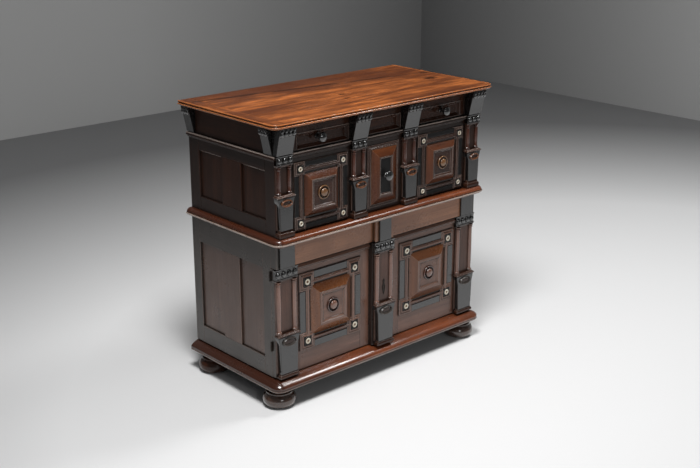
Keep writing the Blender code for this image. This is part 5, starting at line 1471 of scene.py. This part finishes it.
class HIGHBOARD_OT_doors(bpy.types.Operator):
    """Builds the doors as stiles, rails and a backing board, with a moulding under the top edge"""

    bl_idname = "highboard.doors"
    bl_label = "Doors"

    def execute(self, context):
        sizes = context.scene.highboard_sizes
        left_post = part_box("left_door_pilaster")
        right_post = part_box("right_door_pilaster")
        left_strip = (left_post[1].x + DOOR_MOULD_GAP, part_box("left_door")[1].x)
        right_strip = (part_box("door_astragal")[1].x + DOOR_MOULD_GAP, right_post[0].x - DOOR_MOULD_GAP)
        self.door("left", left_post, left_strip, sizes)
        self.door("right", right_post, right_strip, sizes)
        dress("door_astragal", "Dark Carcass Node", sizes.fine_arris)
        return {"FINISHED"}

    def door(self, side, post, strip, sizes):
        body = f"{side}_door"
        gap = sizes.seam
        lo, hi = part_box(body)
        field_lo, field_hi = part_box(f"{side}_door_square")
        work = Work(f"{side}_door_boards", body, "Door Walnut", "reddish_walnut", "Worn Dark", sizes.fine_arris)
        edge = Work(f"{side}_door_edge", body, "Frame Brown", "reddish_walnut", "Worn Dark", sizes.fine_arris)
        middle = (post[0].x + post[1].x) / 2
        stiles = [lo.x, field_lo.x - gap, field_hi.x + gap, hi.x]
        if side == "left":
            edge.add(board(lo, (middle, hi.y, hi.z)), "Z")
            stiles[0] = middle + gap
        else:
            edge.add(board((middle, lo.y, lo.z), hi), "Z")
            stiles[-1] = middle - gap
        for x0, x1 in (stiles[:2], stiles[2:]):
            work.add(board((x0, lo.y, lo.z), (x1, hi.y, hi.z)), "Z")
        for z0, z1 in ((lo.z, field_lo.z - gap), (field_hi.z + gap, hi.z), (field_lo.z, field_hi.z)):
            work.add(board((field_lo.x, lo.y, z0), (field_hi.x, hi.y, z1)), "X")
        foot = hi.z - DOOR_MOULD_DROP
        work.add(loft([[(x, lo.y - out, foot + rise) for rise, out in DOOR_MOULD] for x in strip]), "X")
        work.build(body)
        edge.build()


class HIGHBOARD_OT_lower_frieze(bpy.types.Operator):
    """Builds the rail over the doors with its black blocks"""

    bl_idname = "highboard.lower_frieze"
    bl_label = "Lower Frieze"

    def execute(self, context):
        sizes = context.scene.highboard_sizes
        gap = sizes.seam
        arris = sizes.fine_arris
        works = front_works("lower_frieze", "carcass", arris)
        lo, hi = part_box("lower_frieze_rail")
        rail = Work("lower_frieze_boards", "carcass", "Frieze Walnut", "reddish_walnut", "Worn Dark", arris)
        ends = Work("lower_frieze_ends", "carcass", "Frame Brown", "dark_wood", "Worn Dark", arris)
        edge = hi.x - RAIL_END
        for work, x0, x1, along in (
            (ends, lo.x, -edge, "Z"),
            (ends, edge, hi.x, "Z"),
            (rail, gap - edge, -gap, "X"),
            (rail, 0.0, edge - gap, "X"),
        ):
            work.add(board((x0, RAIL_FACE, lo.z), (x1, hi.y, hi.z)), along)
        front = RAIL_FACE - RAIL_MIDDLE_PROUD
        rail.add(board((-RAIL_MIDDLE_HALF, front, lo.z), (RAIL_MIDDLE_HALF, RAIL_FACE, hi.z)), "Z")
        for x, half, layers in RAIL_BLOCKS:
            outline = rectangle(x - half, x + half, lo.z, hi.z)
            works["black"].add(layered(outline, layers, on_front(RAIL_FACE)), "Z")
        rail.build("lower_frieze_rail")
        ends.build()
        build_set(works)
        return {"FINISHED"}


class HIGHBOARD_OT_inside(bpy.types.Operator):
    """Builds the drawer boxes and backs from boards, and finishes the shelf and divider"""

    bl_idname = "highboard.inside"
    bl_label = "Inside and Backs"

    def execute(self, context):
        sizes = context.scene.highboard_sizes
        for body in ("frieze_drawer", "deep_drawer"):
            self.tray(body, sizes)
        for node, planks, border in BACKS:
            self.back(node, planks, border, sizes)
        dress("drawer_divider", "Dark Carcass Node", sizes.fine_arris)
        dress("cupboard_shelf", "Inner Wood Node", sizes.arris)
        return {"FINISHED"}

    def tray(self, body, sizes):
        lo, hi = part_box(f"{body}_box")
        work = Work(f"{body}_boards", body, "Inner Wood", "inner_wood", None, sizes.arris)
        left = lo.x + TRAY_WALL
        right = hi.x - TRAY_WALL
        work.add(board(lo, (left, hi.y, hi.z)), "Y")
        work.add(board((right, lo.y, lo.z), hi), "Y")
        work.add(board((left, hi.y - TRAY_WALL, lo.z), (right, hi.y, hi.z - TRAY_BACK_DROP)), "X")
        work.add(board((left, lo.y, lo.z), (right, lo.y + TRAY_WALL, hi.z)), "X")
        deep = (hi.y - lo.y - 2 * TRAY_WALL) / TRAY_PLANKS
        low, high = TRAY_FLOOR
        for k in range(TRAY_PLANKS):
            y0 = lo.y + TRAY_WALL + k * deep
            work.add(board((left, y0, lo.z + low), (right, y0 + deep - sizes.seam, lo.z + high)), "X")
        work.build(f"{body}_box")

    def back(self, node, planks, border, sizes):
        lo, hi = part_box(node)
        work = Work(f"{node}_planks", "carcass", "Inner Wood", "inner_wood", None, sizes.arris)
        stiles = Work(f"{node}_stiles", "carcass", border, "inner_wood", None, sizes.arris)
        wide = (hi.x - lo.x - 2 * BACK_STILE) / planks
        for k in range(planks):
            x0 = lo.x + BACK_STILE + k * wide
            work.add(board((x0, lo.y, lo.z), (x0 + wide - 2 * sizes.seam, hi.y, hi.z)), "Z")
        for x0 in (lo.x, hi.x - BACK_STILE):
            stiles.add(board((x0, lo.y, lo.z), (x0 + BACK_STILE - sizes.seam, hi.y, hi.z)), "Z")
        work.build(node)
        stiles.build()


class HIGHBOARD_OT_iron(bpy.types.Operator):
    """Finishes the hinges, lock and keyhole plate in old iron, with pins"""

    bl_idname = "highboard.ironwork"
    bl_label = "Ironwork"

    def execute(self, context):
        for side in ("left", "right"):
            for row in ("lower", "upper"):
                for leaf in ("fixed", "door"):
                    dress(f"{side}_{row}_hinge_{leaf}_leaf", "Old Iron", LEAF_ARRIS)
        for node in ("lock_case", "lock_bolt", "escutcheon"):
            dress(node, "Old Iron", LOCK_ARRIS)
        lo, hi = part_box("escutcheon")
        work = Work("escutcheon_pins", "right_door", "Old Iron", "old_iron")
        for z in (lo.z + PIN_INSET, hi.z - PIN_INSET):
            work.add(turned(PIN, spot_front(0.0, lo.y, z), PIN_SIDES), "X")
        work.build()
        return {"FINISHED"}


# Studio: room planes with their painted pool of light and painted shade, lamps, sky and camera
ROOM_BACK, ROOM_RIGHT, ROOM_NEAR, ROOM_LEFT, ROOM_TALL = 4.8, 5.37, -9.0, -9.0, 7.0
ROOM_ROUGHNESS = 0.75
# Painted light: the floor is pale in a pool round this centre and darker outwards; the walls are painted darker
# towards their corner as shade
LIGHT_POOL_CENTRE = (0.9, -1.0, 0.0)
LIGHT_POOL_FADE = (2.5, 4.8)
BACK_WALL_SHADE = (2.0, 6.4)
RIGHT_WALL_SHADE = (1.4, 4.8)
LAMPS = (
    ("key_lamp", (-1.2, -1.1, 3.8), (-0.1, -0.2, 0.0), 1.0, "key_power"),
    ("side_lamp", (2.2, -0.7, 3.8), (1.8, -0.4, 0.0), 1.0, "side_power"),
    ("fill_lamp", (-2.5, -5.5, 2.8), (0.0, 0.0, 0.6), 1.2, "fill_power"),
)
SKY_COLOUR, SKY_STRENGTH = (0.80, 0.82, 0.85, 1.0), 0.12
CAMERA_SPOT = (-3.187, -3.5863, 2.1695)
CAMERA_BACKWARD = (-0.63513, -0.7043, 0.31712)
SENSOR_WIDTH = 36.0


class HIGHBOARD_OT_studio(bpy.types.Operator):
    """Sets up the floor, walls, lamps, world and camera"""

    bl_idname = "highboard.studio"
    bl_label = "Studio"

    def execute(self, context):
        studio = context.scene.highboard_studio
        self.room(studio)
        self.lamps(studio)
        self.camera(studio)
        return {"FINISHED"}

    def room(self, studio):
        near_left = (ROOM_LEFT, ROOM_NEAR)
        near_right = (ROOM_RIGHT, ROOM_NEAR)
        far_right = (ROOM_RIGHT, ROOM_BACK)
        far_left = (ROOM_LEFT, ROOM_BACK)
        floor = [(*corner, 0.0) for corner in (near_left, near_right, far_right, far_left)]
        plates = [("floor", floor)]
        for name, start, end in (("back_wall", far_left, far_right), ("right_wall", far_right, near_right)):
            wall = [(*start, 0.0), (*end, 0.0), (*end, ROOM_TALL), (*start, ROOM_TALL)]
            plates.append((name, wall))
        for name, corners in plates:
            mesh = bpy.data.meshes.new(name)
            mesh.from_pydata(corners, [], [(0, 1, 2, 3)])
            obj = bpy.data.objects.new(name, mesh)
            bpy.context.scene.collection.objects.link(obj)
            mesh.materials.append(self.surface(name, studio))

    def surface(self, name, studio):
        material, tree, shader, place = start_material(f"studio_{name}")
        shader.inputs["Roughness"].default_value = ROOM_ROUGHNESS
        # Painted pool of light on the floor, painted shade on the walls towards their corner
        if name == "floor":
            painted_falloff = remap(tree, vector_maths(tree, "DISTANCE", place, LIGHT_POOL_CENTRE), *LIGHT_POOL_FADE)
            base = mixed(tree, painted_falloff, studio.floor, studio.floor_shaded)
        elif name == "back_wall":
            painted_falloff = remap(tree, split_axes(tree, place)["X"], *BACK_WALL_SHADE)
            base = mixed(tree, painted_falloff, studio.wall, studio.corner)
        else:
            painted_falloff = remap(tree, split_axes(tree, place)["Y"], *RIGHT_WALL_SHADE)
            base = mixed(tree, painted_falloff, studio.wall, studio.corner)
        tree.links.new(base, shader.inputs["Base Color"])
        return material

    def lamps(self, studio):
        for name, spot, aim, size, power in LAMPS:
            lamp = bpy.data.lights.new(name, "AREA")
            lamp.shape = "SQUARE"
            lamp.size = size
            lamp.energy = getattr(studio, power)
            self.aimed(bpy.data.objects.new(name, lamp), spot, Vector(spot) - Vector(aim))
        world = bpy.data.worlds.new("studio_world")
        world.use_nodes = True
        shade = world.node_tree.nodes["Background"]
        shade.inputs["Color"].default_value = SKY_COLOUR
        shade.inputs["Strength"].default_value = SKY_STRENGTH
        bpy.context.scene.world = world
        bpy.context.scene.view_settings.view_transform = "Standard"

    def camera(self, studio):
        lens = bpy.data.cameras.new("photo_camera")
        lens.lens = studio.lens
        lens.sensor_width = SENSOR_WIDTH
        obj = bpy.data.objects.new("photo_camera", lens)
        self.aimed(obj, CAMERA_SPOT, Vector(CAMERA_BACKWARD))
        bpy.context.scene.camera = obj

    def aimed(self, obj, spot, backward):
        """Puts a lamp or camera at its spot, looking away from the backward direction."""
        obj.location = spot
        obj.rotation_euler = backward.to_track_quat("Z", "Y").to_euler()
        bpy.context.scene.collection.objects.link(obj)


class HIGHBOARD_PT_panel(bpy.types.Panel):
    """Lists the steps and settings of the highboard"""

    bl_idname = "HIGHBOARD_PT_panel"
    bl_label = "Highboard"
    bl_space_type = "VIEW_3D"
    bl_region_type = "UI"
    bl_category = "Highboard"

    def draw(self, context):
        layout = self.layout
        for step in STEPS:
            layout.operator(step.bl_idname)
        scene = context.scene
        for group in (scene.highboard_finish, scene.highboard_sizes, scene.highboard_studio):
            box = layout.box()
            for label in group.__annotations__:
                box.prop(group, label)


STEPS = (
    HIGHBOARD_OT_top,
    HIGHBOARD_OT_shelves,
    HIGHBOARD_OT_sides,
    HIGHBOARD_OT_corbels,
    HIGHBOARD_OT_frieze,
    HIGHBOARD_OT_pilasters,
    HIGHBOARD_OT_squares,
    HIGHBOARD_OT_deep_front,
    HIGHBOARD_OT_knobs,
    HIGHBOARD_OT_feet,
    HIGHBOARD_OT_doors,
    HIGHBOARD_OT_lower_frieze,
    HIGHBOARD_OT_inside,
    HIGHBOARD_OT_iron,
    HIGHBOARD_OT_studio,
)
SETTINGS = (HighboardFinish, HighboardSizes, HighboardStudio)


def register():
    for cls in SETTINGS + STEPS + (HIGHBOARD_PT_panel,):
        bpy.utils.register_class(cls)
    bpy.types.Scene.highboard_finish = PointerProperty(type=HighboardFinish)
    bpy.types.Scene.highboard_sizes = PointerProperty(type=HighboardSizes)
    bpy.types.Scene.highboard_studio = PointerProperty(type=HighboardStudio)


def unregister():
    del bpy.types.Scene.highboard_studio
    del bpy.types.Scene.highboard_sizes
    del bpy.types.Scene.highboard_finish
    for cls in reversed(SETTINGS + STEPS + (HIGHBOARD_PT_panel,)):
        bpy.utils.unregister_class(cls)


def main():
    register()
    bpy.ops.highboard.top_board()
    bpy.ops.highboard.moulded_boards()
    bpy.ops.highboard.sides()
    bpy.ops.highboard.corbels()
    bpy.ops.highboard.frieze_front()
    bpy.ops.highboard.pilasters()
    bpy.ops.highboard.squares()
    bpy.ops.highboard.deep_front()
    bpy.ops.highboard.knobs()
    bpy.ops.highboard.feet()
    bpy.ops.highboard.doors()
    bpy.ops.highboard.lower_frieze()
    bpy.ops.highboard.inside()
    bpy.ops.highboard.ironwork()
    bpy.ops.highboard.studio()


if __name__ == "__main__":
    main()
